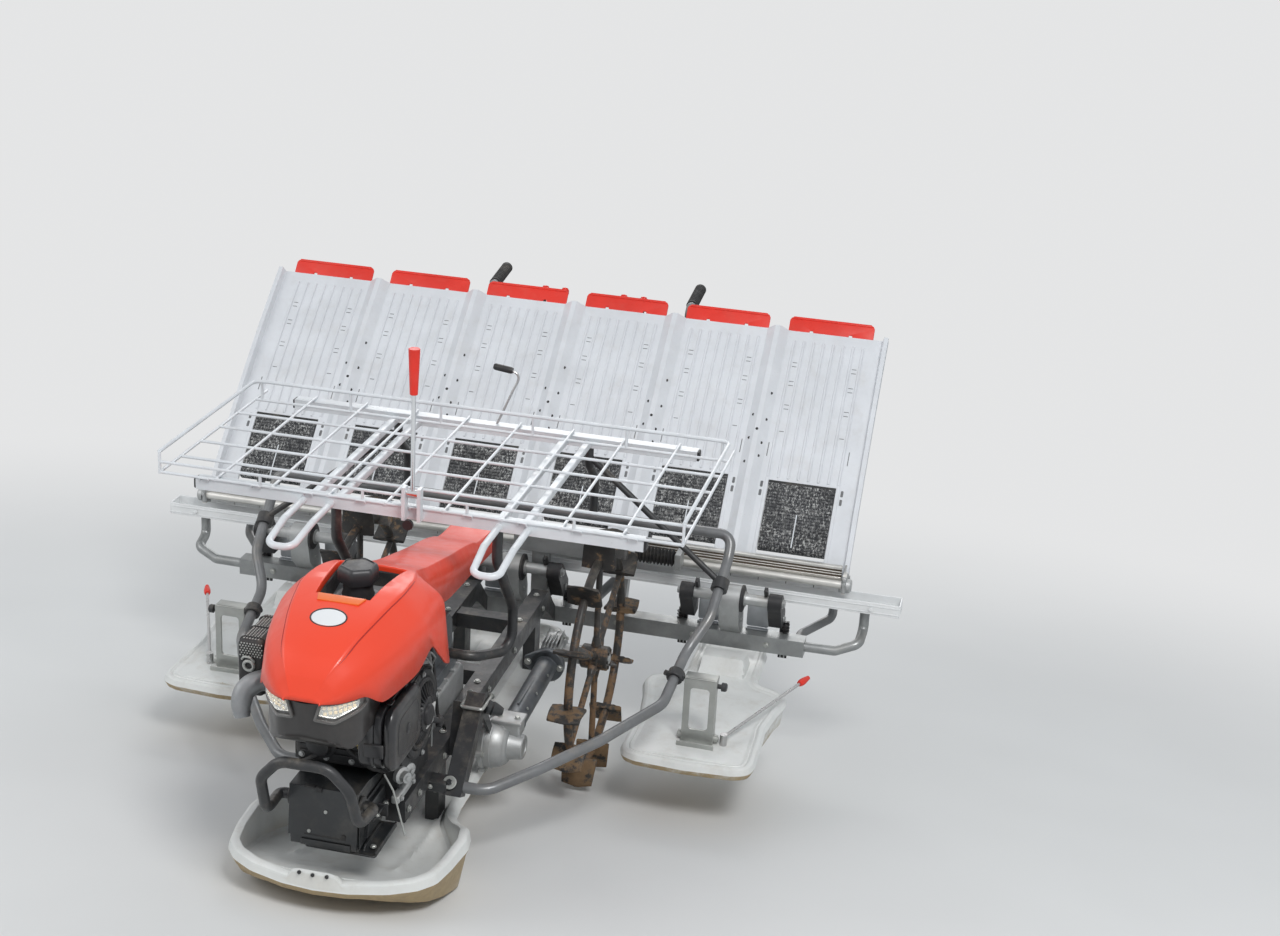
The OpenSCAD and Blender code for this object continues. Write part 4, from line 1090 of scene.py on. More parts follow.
@dataclass
class Bonnet(Section):
    """The red bonnet: a creased crown over the tank, drawn down to a narrow spine behind.

    A section row is: y, half width, foot, shoulder's half width and height, crease's half width, top, and
    half width of the strip that the opening is cut from.
    """

    sections: tuple[tuple[float, ...], ...] = (
        (-1160, 40, 592, 36, 598, 24, 603, 14), (-1150, 58, 591, 52, 606, 33, 621, 20),
        (-1140, 72, 590, 64, 616, 41, 638, 25), (-1105, 104, 592, 92, 636, 60, 670, 36),
        (-1052, 132, 562, 120, 650, 75, 694, 46), (-1000, 149, 568, 136, 659, 88, 708, 53),
        (-939, 163, 577, 148, 668, 99, 718, 59), (-877, 171, 606, 156, 673, 107, 723, 66),
        (-820, 172, 560, 158, 671, 105, 721, 71), (-757, 171, 514, 156, 664, 92, 712, 75),
        (-728, 142, 560, 128, 642, 82, 700, 60), (-660, 94, 570, 85, 631, 66, 673, 45),
        (-586, 77, 553, 70, 621, 58, 646, 38), (-470, 75, 521, 66, 593, 55, 616, 36),
        (-410, 74, 515, 65, 579, 54, 601, 36), (-205, 67, 493, 62, 532, 51, 550, 34),
        (-186, 66, 490, 61, 524, 50, 541, 33), (-42, 64, 477, 59, 509, 53, 523, 34))
    opening: Pair = (-939.0, -757.0)
    reach: tuple[float, ...] = (0, 0, 0, 0, 5, 7, 22, 0)
    well_floor: float = 671.0

    def drop(self, y: Array) -> Array:
        """How far the skin steps down outside the crease."""
        return 8 * step_up(y, -1160, -1090) * (1 - 0.75 * step_up(y, -780, -640))

    def lines(self) -> tuple[Array, int]:
        """Works out the skin's points: rows along the bonnet, columns from foot over the top to foot.

        On the crown, z = top + 5 (1 - (x / crease)^2). Outside the crease the skin steps down and runs on
        over the rounded shoulder to the foot.

        Returns:
            The (n, m, 3) points, and the columns in half of it.
        """
        table = np.array(self.sections)
        y = np.unique(np.concatenate([np.linspace(a, b, 9) for a, b in zip(table[:-1, 0], table[1:, 0])]))
        half, foot, sh, shz, cr, top, strip = smooth_columns(table, y).T
        bulge = 5 * step_up(y, -1160, -1080) * (1 - 0.6 * step_up(y, -760, -640))
        drop = self.drop(y)
        across = [strip * share for share in (0, 1 / 3, 2 / 3, 1)]
        columns = [(x, top + bulge * (1 - (x / cr)**2)) for x in across]
        columns += [(cr, top), (cr + 0.8 * drop, top - drop), (sh, shz), (half, foot)]
        pts = np.stack([np.stack([x, y, z], -1) for x, z in columns], 1)
        half_skin = eased(pts, self.reach)
        full = np.concatenate([half_skin[:, :0:-1] * np.array([-1.0, 1, 1]), half_skin], 1)
        tail = full[-1:].copy()
        tail[..., 1] += 1.5
        tail[..., 2] = full[-1, 0, 2]
        nose = full[:1].copy()
        nose[..., 1] -= 1.9
        nose[..., 2] = 594.0
        return np.concatenate([nose, full, tail]), half_skin.shape[1]

    def cut(self) -> tuple[Array, tuple[int, int, int, int]]:
        """Finds the opening in the skin.

        Returns:
            The skin's points, and the opening's first and last row, left and right column.
        """
        pts, half = self.lines()
        y = pts[:, half, 1]
        rows = np.where((y >= self.opening[0] - 0.01) & (y <= self.opening[1] + 0.01))[0]
        return pts, (rows[0], rows[-1], half - 4, half + 2)

    def rim(self) -> tuple[Array, Array]:
        """The opening's edge as a closed line, and each point's level direction to its middle."""
        pts, (first, last, left, right) = self.cut()
        edge = np.concatenate([pts[first, left:right], pts[first:last, right], pts[last, right:left:-1],
                               pts[last:first:-1, left]])
        return edge, unit((edge.mean(0) - edge) * [1, 1, 0])

    def skin(self) -> Shape:
        """The outer skin with the opening left out, and the well's wall that turns down from its edge.

        Returns:
            The open surface; Solidify gives it its wall.
        """
        pts, (first, last, left, right) = self.cut()
        index = np.arange(pts.shape[0] * pts.shape[1]).reshape(pts.shape[:2])
        quads = np.stack([index[:-1, :-1], index[:-1, 1:], index[1:, 1:], index[1:, :-1]], -1)
        keep = np.ones(quads.shape[:2], bool)
        keep[first:last, left:right] = False
        edge, inward = self.rim()
        deep = edge + inward * 5
        deep[:, 2] = self.well_floor
        wall = [edge + inward * i - UP * d for i, d in ((0, 0), (1.4, 0.5), (2.8, 2.4), (3.2, 8))]
        well = grid(np.stack([*wall, deep]), wrap_v=True).reversed()
        return Shape(pts.reshape(-1, 3), [quads[keep]]) + well

    def liner(self) -> Shape:
        """The dark seal inside the well: the opening's edge drawn in and carried down to the tank."""
        edge, inward = self.rim()
        rows = [(5.6, -12), (7.4, -10), (9.5, -13), (9.5, 0), (5.6, 0)]
        rings = np.stack([edge + inward * i + UP * d for i, d in rows])
        rings[3:, :, 2] = self.well_floor + 0.6
        return grid(rings, wrap_u=True, wrap_v=True).outward()

    def badge(self) -> None:
        """The bare oval plate on the crown, with its dark rim, tilted with the skin."""
        a = angles(48)
        tilt = math.radians(15.5)
        rows = np.array([(1.0, 0), (1.0, 1.6), (0.97, 2.4), (0.9, 2.9), (0.5, 3.6), (0.02, 3.9)])
        x = rows[:, :1] * 36 * np.cos(a)
        v = rows[:, :1] * 26 * np.sin(a)
        w = np.repeat(rows[:, 1:], len(a), 1) - 1.5
        spot = np.array([0, -1016, 708.4])
        c, s = math.cos(tilt), math.sin(tilt)
        pts = np.stack([x, v * c - w * s, v * s + w * c], -1) + spot
        self.show(solid(pts), "badge_plate", Paint.PLATE)
        ring = np.stack([37.2 * np.cos(a), 27.2 * np.sin(a) * c, 27.2 * np.sin(a) * s], -1)
        self.show(sweep(ring + spot + [0, 0, 0.4], circle(1.5, 8), closed=True), "badge_rim", Paint.COVER)

    def sill(self) -> None:
        """The orange step at the opening's front edge, and a dark line of painted shadow along each crease of
        the crown.
        """
        flat = plate(np.array([(-44, -966), (44, -966), (52, -941), (-52, -941)], float), -2.5, 1.3, 1.6)
        x, y, z = flat.verts.T
        spot = np.stack([x, y, 723.4 + z + (y + 941) * 0.12], -1)
        self.show(Shape(spot, flat.faces), "crown_sill", Paint.SILL)
        # Painted shadow: a thin dark red strip runs along each crease, where the crown steps down.
        y = np.linspace(-1138, -772, 60)
        cr, top = smooth_columns(np.array(self.sections), y).T[4:6]
        drop = self.drop(y)
        line = np.stack([cr + 0.45 * drop, y, top - 0.62 * drop - 1.1], -1)
        thin = sweep(line, circle(1.9, 8), scale=np.clip(np.minimum(y + 1140, -770 - y) / 60, 0.2, 1))
        self.show(thin.both(), "crown_creases", Paint.CREASE)

    def cap(self) -> None:
        """The well's floor with the tank's neck, and the six-sided cap with its bevelled top."""
        o = np.array([[-62, -944], [62, -944], [80, -756], [-80, -756]], float)
        floor = plate(o, self.well_floor - 6, self.well_floor + 0.5, 1)
        ring = lathe([(0, 671), (57, 671), (57, 676), (54, 681), (46, 684), (42, 681), (40, 678), (36, 678),
                      (34, 684), (0, 684)], (0, -850, 0), Z, 56)
        self.show(floor + ring, "tank_top", Paint.DUCT)
        hose = tube([(44, -812, 680), (58, -795, 692), (60, -775, 690), (40, -764, 682)], 5, 14)
        self.show(hose, "tank_hose", Paint.BOOT)
        neck = lathe([(0, 680), (33, 680), (34, 690), (31, 700), (31, 716), (35, 722), (0, 722)],
                     (0, -850, 0), Z, 40)
        a = angles(96) + np.pi / 6
        flat = np.minimum(0.93 / np.cos((a + np.pi / 6) % (np.pi / 3) - np.pi / 6), 1.035)
        rows = np.array([(0.8, 718), (0.96, 720), (1.0, 724), (1.0, 744), (0.97, 750), (0.88, 754),
                         (0.8, 755.4), (0.77, 753.6), (0.3, 754.6), (0.02, 755)])
        r = rows[:, :1] * 41 * flat
        r[-3:] = rows[-3:, :1] * 41
        pts = np.stack([r * np.cos(a), r * np.sin(a) - 850, np.repeat(rows[:, 1:], len(a), 1)], -1)
        head = solid(pts)
        self.show(neck + head, "tank_cap", Paint.CAP, "fuel_cap")

    def build(self) -> None:
        """Makes the bonnet with its wall, the badge and the cap."""
        obj = self.show(self.skin(), "bonnet_skin", Paint.BONNET, "bonnet", smooth=24)
        wall = obj.modifiers.new("wall", "SOLIDIFY")
        wall.thickness = 0.005
        wall.offset = -1
        self.show(self.liner(), "well_liner", Paint.BOOT)
        self.badge()
        self.sill()
        self.cap()


@dataclass
class Mask(Section):
    """The dark face under the bonnet, with two V-shaped lamp frames and their rows of diodes."""

    high: float = 588.0
    frame: tuple[Pair, ...] = ((33, 586), (23, 552), (60, 545), (118, 563), (136, 570), (134, 588))
    panel: tuple[Pair, ...] = ((37, 584), (31, 562), (62, 556), (110, 571), (113, 586))
    path: Array = field(init=False)
    lengths: Array = field(init=False)

    def __post_init__(self) -> None:
        """Lays the outline from above, rounded, at equal lengths."""
        half = [(0, -1154, 0), (58, -1139, 0), (96, -1100, 0), (104, -1062, 0), (104, -1000, 0)]
        line = [(-x, y, z) for x, y, z in half[:0:-1]] + half
        self.path = resampled(rounded_path(line, 60, 6)[:, :2], 121)
        far = np.linalg.norm(np.diff(self.path, axis=0), axis=1).sum()
        self.lengths = np.linspace(-far / 2, far / 2, 121)

    def plan(self, a: Array) -> Array:
        """The outline's x and y at a length."""
        return np.array([np.interp(a, self.lengths, self.path[:, k]) for k in (0, 1)])

    def at(self, a: Array, z: Array, out: float = 0.0) -> Array:
        """A point on the face.

        Plan: the outline at length a. Below z 548 the face leans back: y is the smooth maximum of the
        outline's y and a line that falls from the lamps to the chin. The point then moves outwards by `out`.

        Args:
            a: length along the outline from the middle.
            z: height.
            out: distance off the surface.

        Returns:
            The points.
        """
        a, z = np.broadcast_arrays(np.asarray(a, float), np.asarray(z, float))
        x, y = self.plan(a)
        line = np.interp(z, [474, 498, 548, 600], [-1112, -1140, -1170, -1190])
        y = 0.5 * (y + line + np.sqrt((y - line)**2 + 36))
        dx, dy = self.plan(a + 2) - self.plan(a - 2)
        size = np.hypot(dx, dy)
        return np.stack([x + out * dy / size, y - out * dx / size, z], -1)

    def face(self) -> Shape:
        """The mask's closed body: rows from the chin to the top, columns round the outline."""
        low = np.interp(self.path[:, 1], [-1154, -1112, -1064, -1000], [475, 474, 494, 500])
        t = np.array([0, 0.01, 0.04, 0.1, 0.2, 0.32, 0.46, 0.6, 0.74, 0.88, 0.97, 1])[:, None]
        pts = self.at(self.lengths[None], low + (self.high - low) * t)
        inner = np.array([0, -1060.0])
        for row, pull in ((0, 0.06), (1, 0.02), (-1, 0.04)):
            pts[row, :, :2] += (inner - pts[row, :, :2]) * pull
        return solid(pts)

    def on_face(self, outline: Array, count: int, out: float) -> Array:
        """An outline of (length, height) points resampled and laid on the face."""
        p = resampled(np.asarray(outline, float), count, True)
        return self.at(p[:, 0], p[:, 1], out)

    def patch(self, outline: tuple[Pair, ...], out: float, thick: float) -> Shape:
        """A plate that follows the face: rings of its outline drawn in to its middle, on a closed edge.

        Args:
            outline: its corners on the face.
            out: how far it stands off.
            thick: its thickness.

        Returns:
            The plate.
        """
        p = resampled(np.asarray(outline, float), 64, True)
        mid = p.mean(0)
        rows = [(0.97, 0), (1, 0.3), (1, thick - 0.4)] + [(k, thick) for k in (0.985, 0.8, 0.5, 0.2, 0.01)]
        rings = [self.at(*(mid + (p - mid) * k).T, out + h) for k, h in rows]
        return solid(np.array(rings))

    def lamp(self) -> dict[Paint, Shape]:
        """The left lamp: frame lip, silvered bowl, two rows of diodes with their lens.

        Returns:
            The shapes by finish.
        """
        lip = self.on_face(self.frame, 140, 2.0)
        bead = np.array([(-2, -4.5), (3.5, -4), (4.2, 0), (2.5, 4), (-2, 5)])
        lip_shape = sweep(lip, bead * 0.9, closed=True)
        wing = self.patch(self.frame, 0.2, 1.2)
        bowl = self.patch(self.panel, 1.2, 1.6)
        edge = sweep(self.on_face(self.panel, 120, 3.0), circle(1.5, 8), closed=True)
        diodes = []
        for row in (0, 1):
            for k in range(7):
                a = 42 + 9.8 * k + row * 1.5
                z = 578.5 - 10.5 * row + 0.147 * max(0, a - 62) - (3 if row and k < 1 else 0)
                c = self.at(a, z, 3.0)
                side = unit(self.at(a + 1, z, 3.0) - self.at(a - 1, z, 3.0))
                out = unit(np.cross(side, UP))
                square = np.array([(-3.4, -3.2), (3.4, -3.2), (3.4, 3.2), (-3.4, 3.2)])
                rings = [c + side * square[:, :1] * s + UP * square[:, 1:] * s + out * h
                         for s, h in ((1, -1), (1, 0.9), (0.82, 1.6), (0.3, 2.0))]
                diodes.append(solid(np.array(rings)))
        lens = self.patch(self.panel, 5.6, 1.0)
        return {Paint.BEZEL: lip_shape + wing, Paint.MIRROR: bowl + edge, Paint.DIODE: Shape.join(diodes),
                Paint.LENS: lens}

    def build(self) -> None:
        """Makes the mask and both lamps."""
        arm = block((-50, -1001, 510), (50, -944.3, 552), 3)
        self.show(self.face() + arm, "mask_face", Paint.MASK, "lamp_mask")
        for paint, shape in self.lamp().items():
            stands = ("headlamps",) if paint is Paint.LENS else ()
            self.show(shape.both(), "lamps_" + paint.name.lower(), paint, *stands)


# Seedling platform


@dataclass
class Platform(Section):
    """The sloping seedling platform: a bent sheet with ribs, dividers and belt windows, in six rows."""

    ride: str = "platform"
    offset: float = FEED_OFFSET
    pitch: float = 300.0
    rows: int = 6
    length: float = 732.0
    tilt: float = 44.0
    bend: float = 5.0
    low: Pair = (477.0, 288.0)
    sheet: float = 5.0
    ridge: Triple = (62.0, 14.0, 26.0)
    rib_count: int = 8
    rib_pitch: float = 28.0
    rib_high: float = 4.4
    window: Triple = (93.0, 0.0519, 0.3456)
    window_lip: float = 0.012
    rib_ends: Pair = (0.36, 0.952)

    def at(self, x: Array, u: Array, h: Array) -> Array:
        """A point at share u up the slope and height h over the underside.

        The slope's chord turns by `tilt`; its sag is length tan(bend) u (1 - u) across the chord, and the
        height stands square to the local direction tilt + bend (1 - 2u).

        Args:
            x: place across, from the platform's middle.
            u: share of the length.
            h: height.

        Returns:
            The points in machine millimetres.
        """
        x, u, h = np.broadcast_arrays(*(np.asarray(v, float) for v in (x, u, h)))
        turn, bend = math.radians(self.tilt), math.radians(self.bend)
        sag = self.length * math.tan(bend) * u * (1 - u)
        local = turn + bend * (1 - 2 * u)
        y = self.low[0] + u * self.length * math.cos(turn) - sag * math.sin(turn) - h * np.sin(local)
        z = self.low[1] + u * self.length * math.sin(turn) + sag * math.cos(turn) + h * np.cos(local)
        return np.stack([x + self.offset, y, z], -1)

    @property
    def half(self) -> float:
        """Half the platform's width."""
        return self.rows * self.pitch / 2 + 15

    @property
    def middles(self) -> Array:
        """The rows' middles."""
        return (np.arange(self.rows) - (self.rows - 1) / 2) * self.pitch

    @property
    def dividers(self) -> Array:
        """The dividers' lines between the rows, and the outer rows' edges."""
        return (np.arange(self.rows + 1) - self.rows / 2) * self.pitch

    @property
    def ribs(self) -> Array:
        """The ribs' lines across the whole platform."""
        steps = (np.arange(self.rib_count) - (self.rib_count - 1) / 2) * self.rib_pitch
        return (self.middles[:, None] + steps[None]).ravel()

    def height(self, x: Array, u: Array) -> Array:
        """The sheet's upper face: its thickness, capsule-shaped ribs, slanted dividers and window lips.

        Args:
            x: place across, from the platform's middle.
            u: share of the length.

        Returns:
            The height over the underside.
        """
        foot, top, high = self.ridge
        near = np.abs(x[..., None] - self.ribs).min(-1)
        up = u * self.length
        start, end = (share * self.length for share in self.rib_ends)
        past = np.maximum(0, np.maximum(up - end, start - up))
        rib = self.rib_high * (1 - step_up(np.hypot(near, past), 2.0, 4.4))
        lines = self.dividers
        lines[0], lines[-1] = -self.half + 7, self.half - 7
        away = np.abs(x[..., None] - lines)
        wide = np.full(len(lines), foot / 2)
        wide[[0, -1]] = 9.0
        slope = (wide - away) / (wide - np.minimum(wide - 2, top / 2))
        ridge = (high - self.sheet) * np.clip(slope, 0, 1).max(-1)
        side, low, high = self.window
        lip = 2.2 * (1 - step_up(np.abs(np.abs(x[..., None] - self.middles).min(-1) - side - 5), 3, 6))
        lip = lip * (u > low - self.window_lip) * (u < high + self.window_lip)
        return self.sheet + np.maximum(np.maximum(rib, ridge), lip)

    def stations(self) -> tuple[Array, Array]:
        """Where the grid's lines run, so that every edge of the form falls on one.

        Returns:
            The places across, and the shares up the slope.
        """
        near = np.array([0, 2.0, 2.8, 3.6, 4.4])
        ribs = (self.ribs[:, None] + np.concatenate([-near, near])[None]).ravel()
        foot, top = self.ridge[0] / 2, self.ridge[1] / 2
        steps = np.array([-foot, -foot + 0.8, -top - 0.8, -top, 0, top, top + 0.8, foot - 0.8, foot])
        side = self.dividers[1:-1, None] + steps
        windows = (self.middles[:, None] + np.array([-1, 1]) * self.window[0]).ravel()
        lips = (self.middles[:, None] + np.array([-104, -101, -98, -95, 95, 98, 101, 104])).ravel()
        ends = np.array([self.half, self.half - 2, self.half - 7, self.half - 12, self.half - 16])
        x = np.unique(np.round(np.concatenate([ribs, side.ravel(), windows, lips, ends, -ends]), 3))
        end = np.array([-5.5, -4.4, -3.6, -2.8, -2, 0, 4, 12])
        _, low, high = self.window
        u = np.unique(np.round(np.concatenate([
            np.linspace(0, 1, 25), [low, high, low - self.window_lip, high + self.window_lip],
            self.rib_ends[0] + end / self.length, self.rib_ends[1] - end / self.length]), 5))
        return x[np.abs(x) <= self.half], u[(u >= 0) & (u <= 1)]

    def sheet_shape(self) -> Shape:
        """Upper and lower faces of the sheet, its outer edges, and the rims of the six windows."""
        x, u = self.stations()
        gx, gu = np.meshgrid(x, u, indexing="ij")
        mx, mu = (x[1:] + x[:-1]) / 2, (u[1:] + u[:-1]) / 2
        side, low, high = self.window
        across = np.abs(mx[:, None] - self.middles).min(-1) < side
        cut = across[:, None] & ((mu > low) & (mu < high))[None]
        return closed_sheet(self.at(gx, gu, self.height(gx, gu)), self.at(gx, gu, np.zeros_like(gx)), ~cut)

    def slab(self, outline: Array, u: float, low: float, high: float, edge: float = 0.6) -> Shape:
        """A small plate on the slope: its outline in millimetres across and up, from height low to high.

        Args:
            outline: its points.
            u: its place up the slope, from 0 to 1.
            low: its underside.
            high: its top.
            edge: the rounding of its edges.

        Returns:
            The plate.
        """
        flat = plate(outline, low, high, edge)
        spot = self.at(flat.verts[:, 0], u + flat.verts[:, 1] / self.length, flat.verts[:, 2])
        return Shape(spot, flat.faces).outward()

    def marks(self) -> tuple[Shape, Shape]:
        """Screws on the dividers, and dark plates of painted shade for the short slots and ticks pressed in
        the rows.

        Returns:
            The screws, and the dark marks of painted shade.
        """
        screws = []
        for line in self.dividers[1:-1]:
            for dx, u in ((-19, 0.60), (19, 0.585), (-18, 0.50), (18, 0.485), (0, 0.535), (-17, 0.40),
                          (17, 0.43), (19, 0.70)):
                h = self.height(np.array([line + dx]), np.array([u]))[0]
                screws.append(self.slab(circle(4.2, 10) + [line + dx, 0], u, h - 1.6, h + 1.1, 0.8))
        # Painted shade: flush dark plates stand for the pressed slots, slits and ticks.
        marks = []
        tick = np.array([(-6.5, -0.9), (6.5, -0.9), (6.5, 0.9), (-6.5, 0.9)])
        slit = np.array([(-1.2, -21), (1.2, -21), (1.2, 21), (-1.2, 21)])
        for middle in self.middles:
            for side in (-1, 1):
                for u in (0.325, 0.29):
                    box = round_rect((middle + side * 111, 0), (3.6, 9), 2.4, 3)
                    marks.append(self.slab(box, u, self.sheet - 1, self.sheet + 0.5, 0.2))
            for side in (-1, 1):
                for u in (0.855, 0.837, 0.77, 0.752, 0.665, 0.647, 0.55):
                    spot = tick + [middle + side * 84, 0]
                    marks.append(self.slab(spot, u, self.sheet - 1, self.sheet + 0.525, 0.2))
                spot = slit + [middle + side * 112, 0]
                marks.append(self.slab(spot, 0.47, self.sheet - 1, self.sheet + 0.35, 0.2))
        return Shape.join(screws), Shape.join(marks)

    def shoes(self) -> Shape:
        """The four shoes under the sheet, notched over the rear guide bar, each with a pressed rib."""
        a = np.linspace(0, np.pi, 13)[:, None]
        arc = np.hstack([812 + 12.6 * np.cos(a), 548 + 12.6 * np.sin(a)])
        top = self.at(0.0, np.array([0.71, 0.6]), np.array([1.0, 1.0]))[:, 1:]
        outline = np.vstack([[(832, 578)], top, [(792, 578), (792, 549)], arc[::-1], [(832, 549)]])
        one = plate(outline, -16, 16, 1.5, (1, 2, 0))
        return Shape.join([one.moved((x + self.offset, 0, 0)) for x in (-650, -250, 250, 650)])

    def belt(self) -> Shape:
        """One feed belt: cross ribs and length grooves on a band whose ends turn down over their rollers.

        h = 8 - roll - 2.4 max(groove up, 0.8 groove across), where a groove falls off with the distance to
        its line.

        Returns:
            The belt of the row at 0.
        """
        half, start, end = self.window[0] - 1.5, self.window[1] + 0.0195, self.window[2] - 0.0015
        lines = np.linspace(-half, half, 7)
        x = np.unique(np.concatenate([lines, (lines[1:-1, None] + [-2.6, -1.3, 1.3, 2.6]).ravel()]))
        run = (end - start) * self.length
        cross = np.arange(6, run - 2, 9.5)
        t = np.unique(np.concatenate([np.linspace(0, 10, 6), np.linspace(run - 10, run, 6),
                                      (cross[:, None] + [-2.0, -0.9, 0.9, 2.0]).ravel()]))
        t = t[(t >= 0) & (t <= run)]
        gx, gt = np.meshgrid(x, t, indexing="ij")
        up = 1 - step_up(np.abs(gt[..., None] - cross).min(-1), 0.9, 2.0)
        across = 1 - step_up(np.abs(gx[..., None] - lines[1:-1]).min(-1), 1.3, 2.6)
        near = np.minimum(gt, run - gt)
        bend = 10
        roll = np.where(near < bend, bend - np.sqrt(np.maximum(bend**2 - (bend - near)**2, 0)), 0)
        h = 8 - roll - 2.4 * np.maximum(up, 0.8 * across)
        u = start + gt / self.length
        return closed_sheet(self.at(gx, u, h), self.at(gx, u, np.full_like(gx, -15.0)))

    def edging(self) -> Shape:
        """Six red guides along the top: rounded plates, turned up, with a thicker lip and notches."""
        turn = math.radians(self.tilt - self.bend + 12)
        base = self.at(0.0, 1.0, 0.0)[1:]
        outline = np.array([(-120, 0.6), (-62, 0.6), (-60, 7), (-52, 7), (-50, 0.6), (50, 0.6), (52, 7),
                            (60, 7), (62, 0.6), (120, 0.6), (121.5, 3), (121.5, 34), (118, 41), (110, 45.5),
                            (-110, 45.5), (-118, 41), (-121.5, 34), (-121.5, 3)], float)
        lip = np.array([(-110, 38), (110, 38), (115, 40), (111, 45.5), (-111, 45.5), (-115, 40)], float)
        flat = plate(outline, 0.4, 5.2, 1.1) + plate(lip, -1.6, 7.4, 1.6)
        x, s, h = flat.verts.T
        one = Shape(np.stack([x, base[0] + s * math.cos(turn) - h * math.sin(turn),
                              base[1] + s * math.sin(turn) + h * math.cos(turn)], -1), flat.faces)
        return Shape.join([one.moved((m + self.offset, 0, 0)) for m in self.middles])

    def underside(self) -> Shape:
        """Stiffening ribs under the sheet: two beside each divider up the slope, and four across."""
        lines = np.concatenate([self.middles - 112, self.middles + 112])
        u = np.linspace(0.4, 0.99, 14)
        up = []
        for x in lines:
            across, deep = x + np.array([-1.8, 1.8, 1.8, -1.8]), np.array([1, 1, -11, -11.0])
            rows = [self.at(across, k, deep) for k in u]
            up.append(solid(np.array(rows)))
        far = self.half - 4
        beam = np.array([(-far, -2), (far, -2), (far, 2), (-far, 2)])
        cross = [self.slab(beam, k, -11, 1) for k in (0.39, 0.5, 0.78, 0.985)]
        return Shape.join(up + cross)

    def gates(self) -> Shape:
        """The seedling gates along the platform's foot: broad plates with narrow gaps between two rods."""
        bars = block((-36.6, 440.8, 263.3), (36.6, 444.6, 291), 0.8, 1)
        x = np.arange(-866, 867, 75.3) + self.offset
        uprights = bars.copies(np.stack([x, np.zeros_like(x), np.zeros_like(x)], -1))
        rods = [tube([(-884 + self.offset, 440.6, z), (884 + self.offset, 440.6, z)], 1.5, sides=8)
                for z in (266, 276, 288)]
        return Shape.join([uprights] + rods)

    def build(self) -> None:
        """Makes the sheet, marks, shoes, belts, edging and gates."""
        self.show(self.sheet_shape() + self.shoes(), "platform_sheet", Paint.PLATFORM, "seedling_platform",
                  smooth=26)
        screws, marks = self.marks()
        self.show(screws, "platform_screws", Paint.COVER)
        self.show(marks, "platform_marks", Paint.MARK)
        one = self.belt()
        belts = Shape.join([one.moved((m, 0, 0)) for m in self.middles])
        self.show(belts, "feed_belt_bands", Paint.BELT, "feed_belts", smooth=40)
        rods = [tube([tuple(self.at(m, u, 10.5)) for u in (0.085, 0.15, 0.215)], 1.9, sides=10)
                for m in self.middles]
        self.show(Shape.join(rods), "belt_rods", Paint.RACK)
        head = np.array([(-93, -7), (93, -7), (93, 3), (-93, 3)], float)
        heads = [self.slab(head + [m, 0], self.window[2] - 0.006, -14, 7.5) for m in self.middles]
        self.show(Shape.join(heads), "window_heads", Paint.BOOT)
        self.show(self.underside(), "platform_underside", Paint.PLATFORM)
        self.show(self.edging(), "platform_edging", Paint.EDGING, "top_edging")
        self.show(self.gates(), "seedling_gates", Paint.GATE)
        span = self.half - 16
        left, right = self.offset - span, self.offset + span
        # Painted shade: dark strips behind the gates' gaps and between the foot ridges.
        shade_backs = block((left, 444.4, 263.4), (right, 446.4, 292), 0.5, 1)
        shade_backs = shade_backs + block((left, 449.5, 303), (right, 452.5, 326), 0.5, 1)
        self.show(shade_backs, "foot_grooves", Paint.GROOVE)
        levels = ((447, 299.5, 304.5), (448, 310, 312.5), (447.6, 317, 320), (446, 326, 334))
        ridges = [block((left, y, low), (right, 462, high), 1.4) for y, low, high in levels]
        self.show(Shape.join(ridges), "foot_ridges", Paint.METAL)


# Wheels


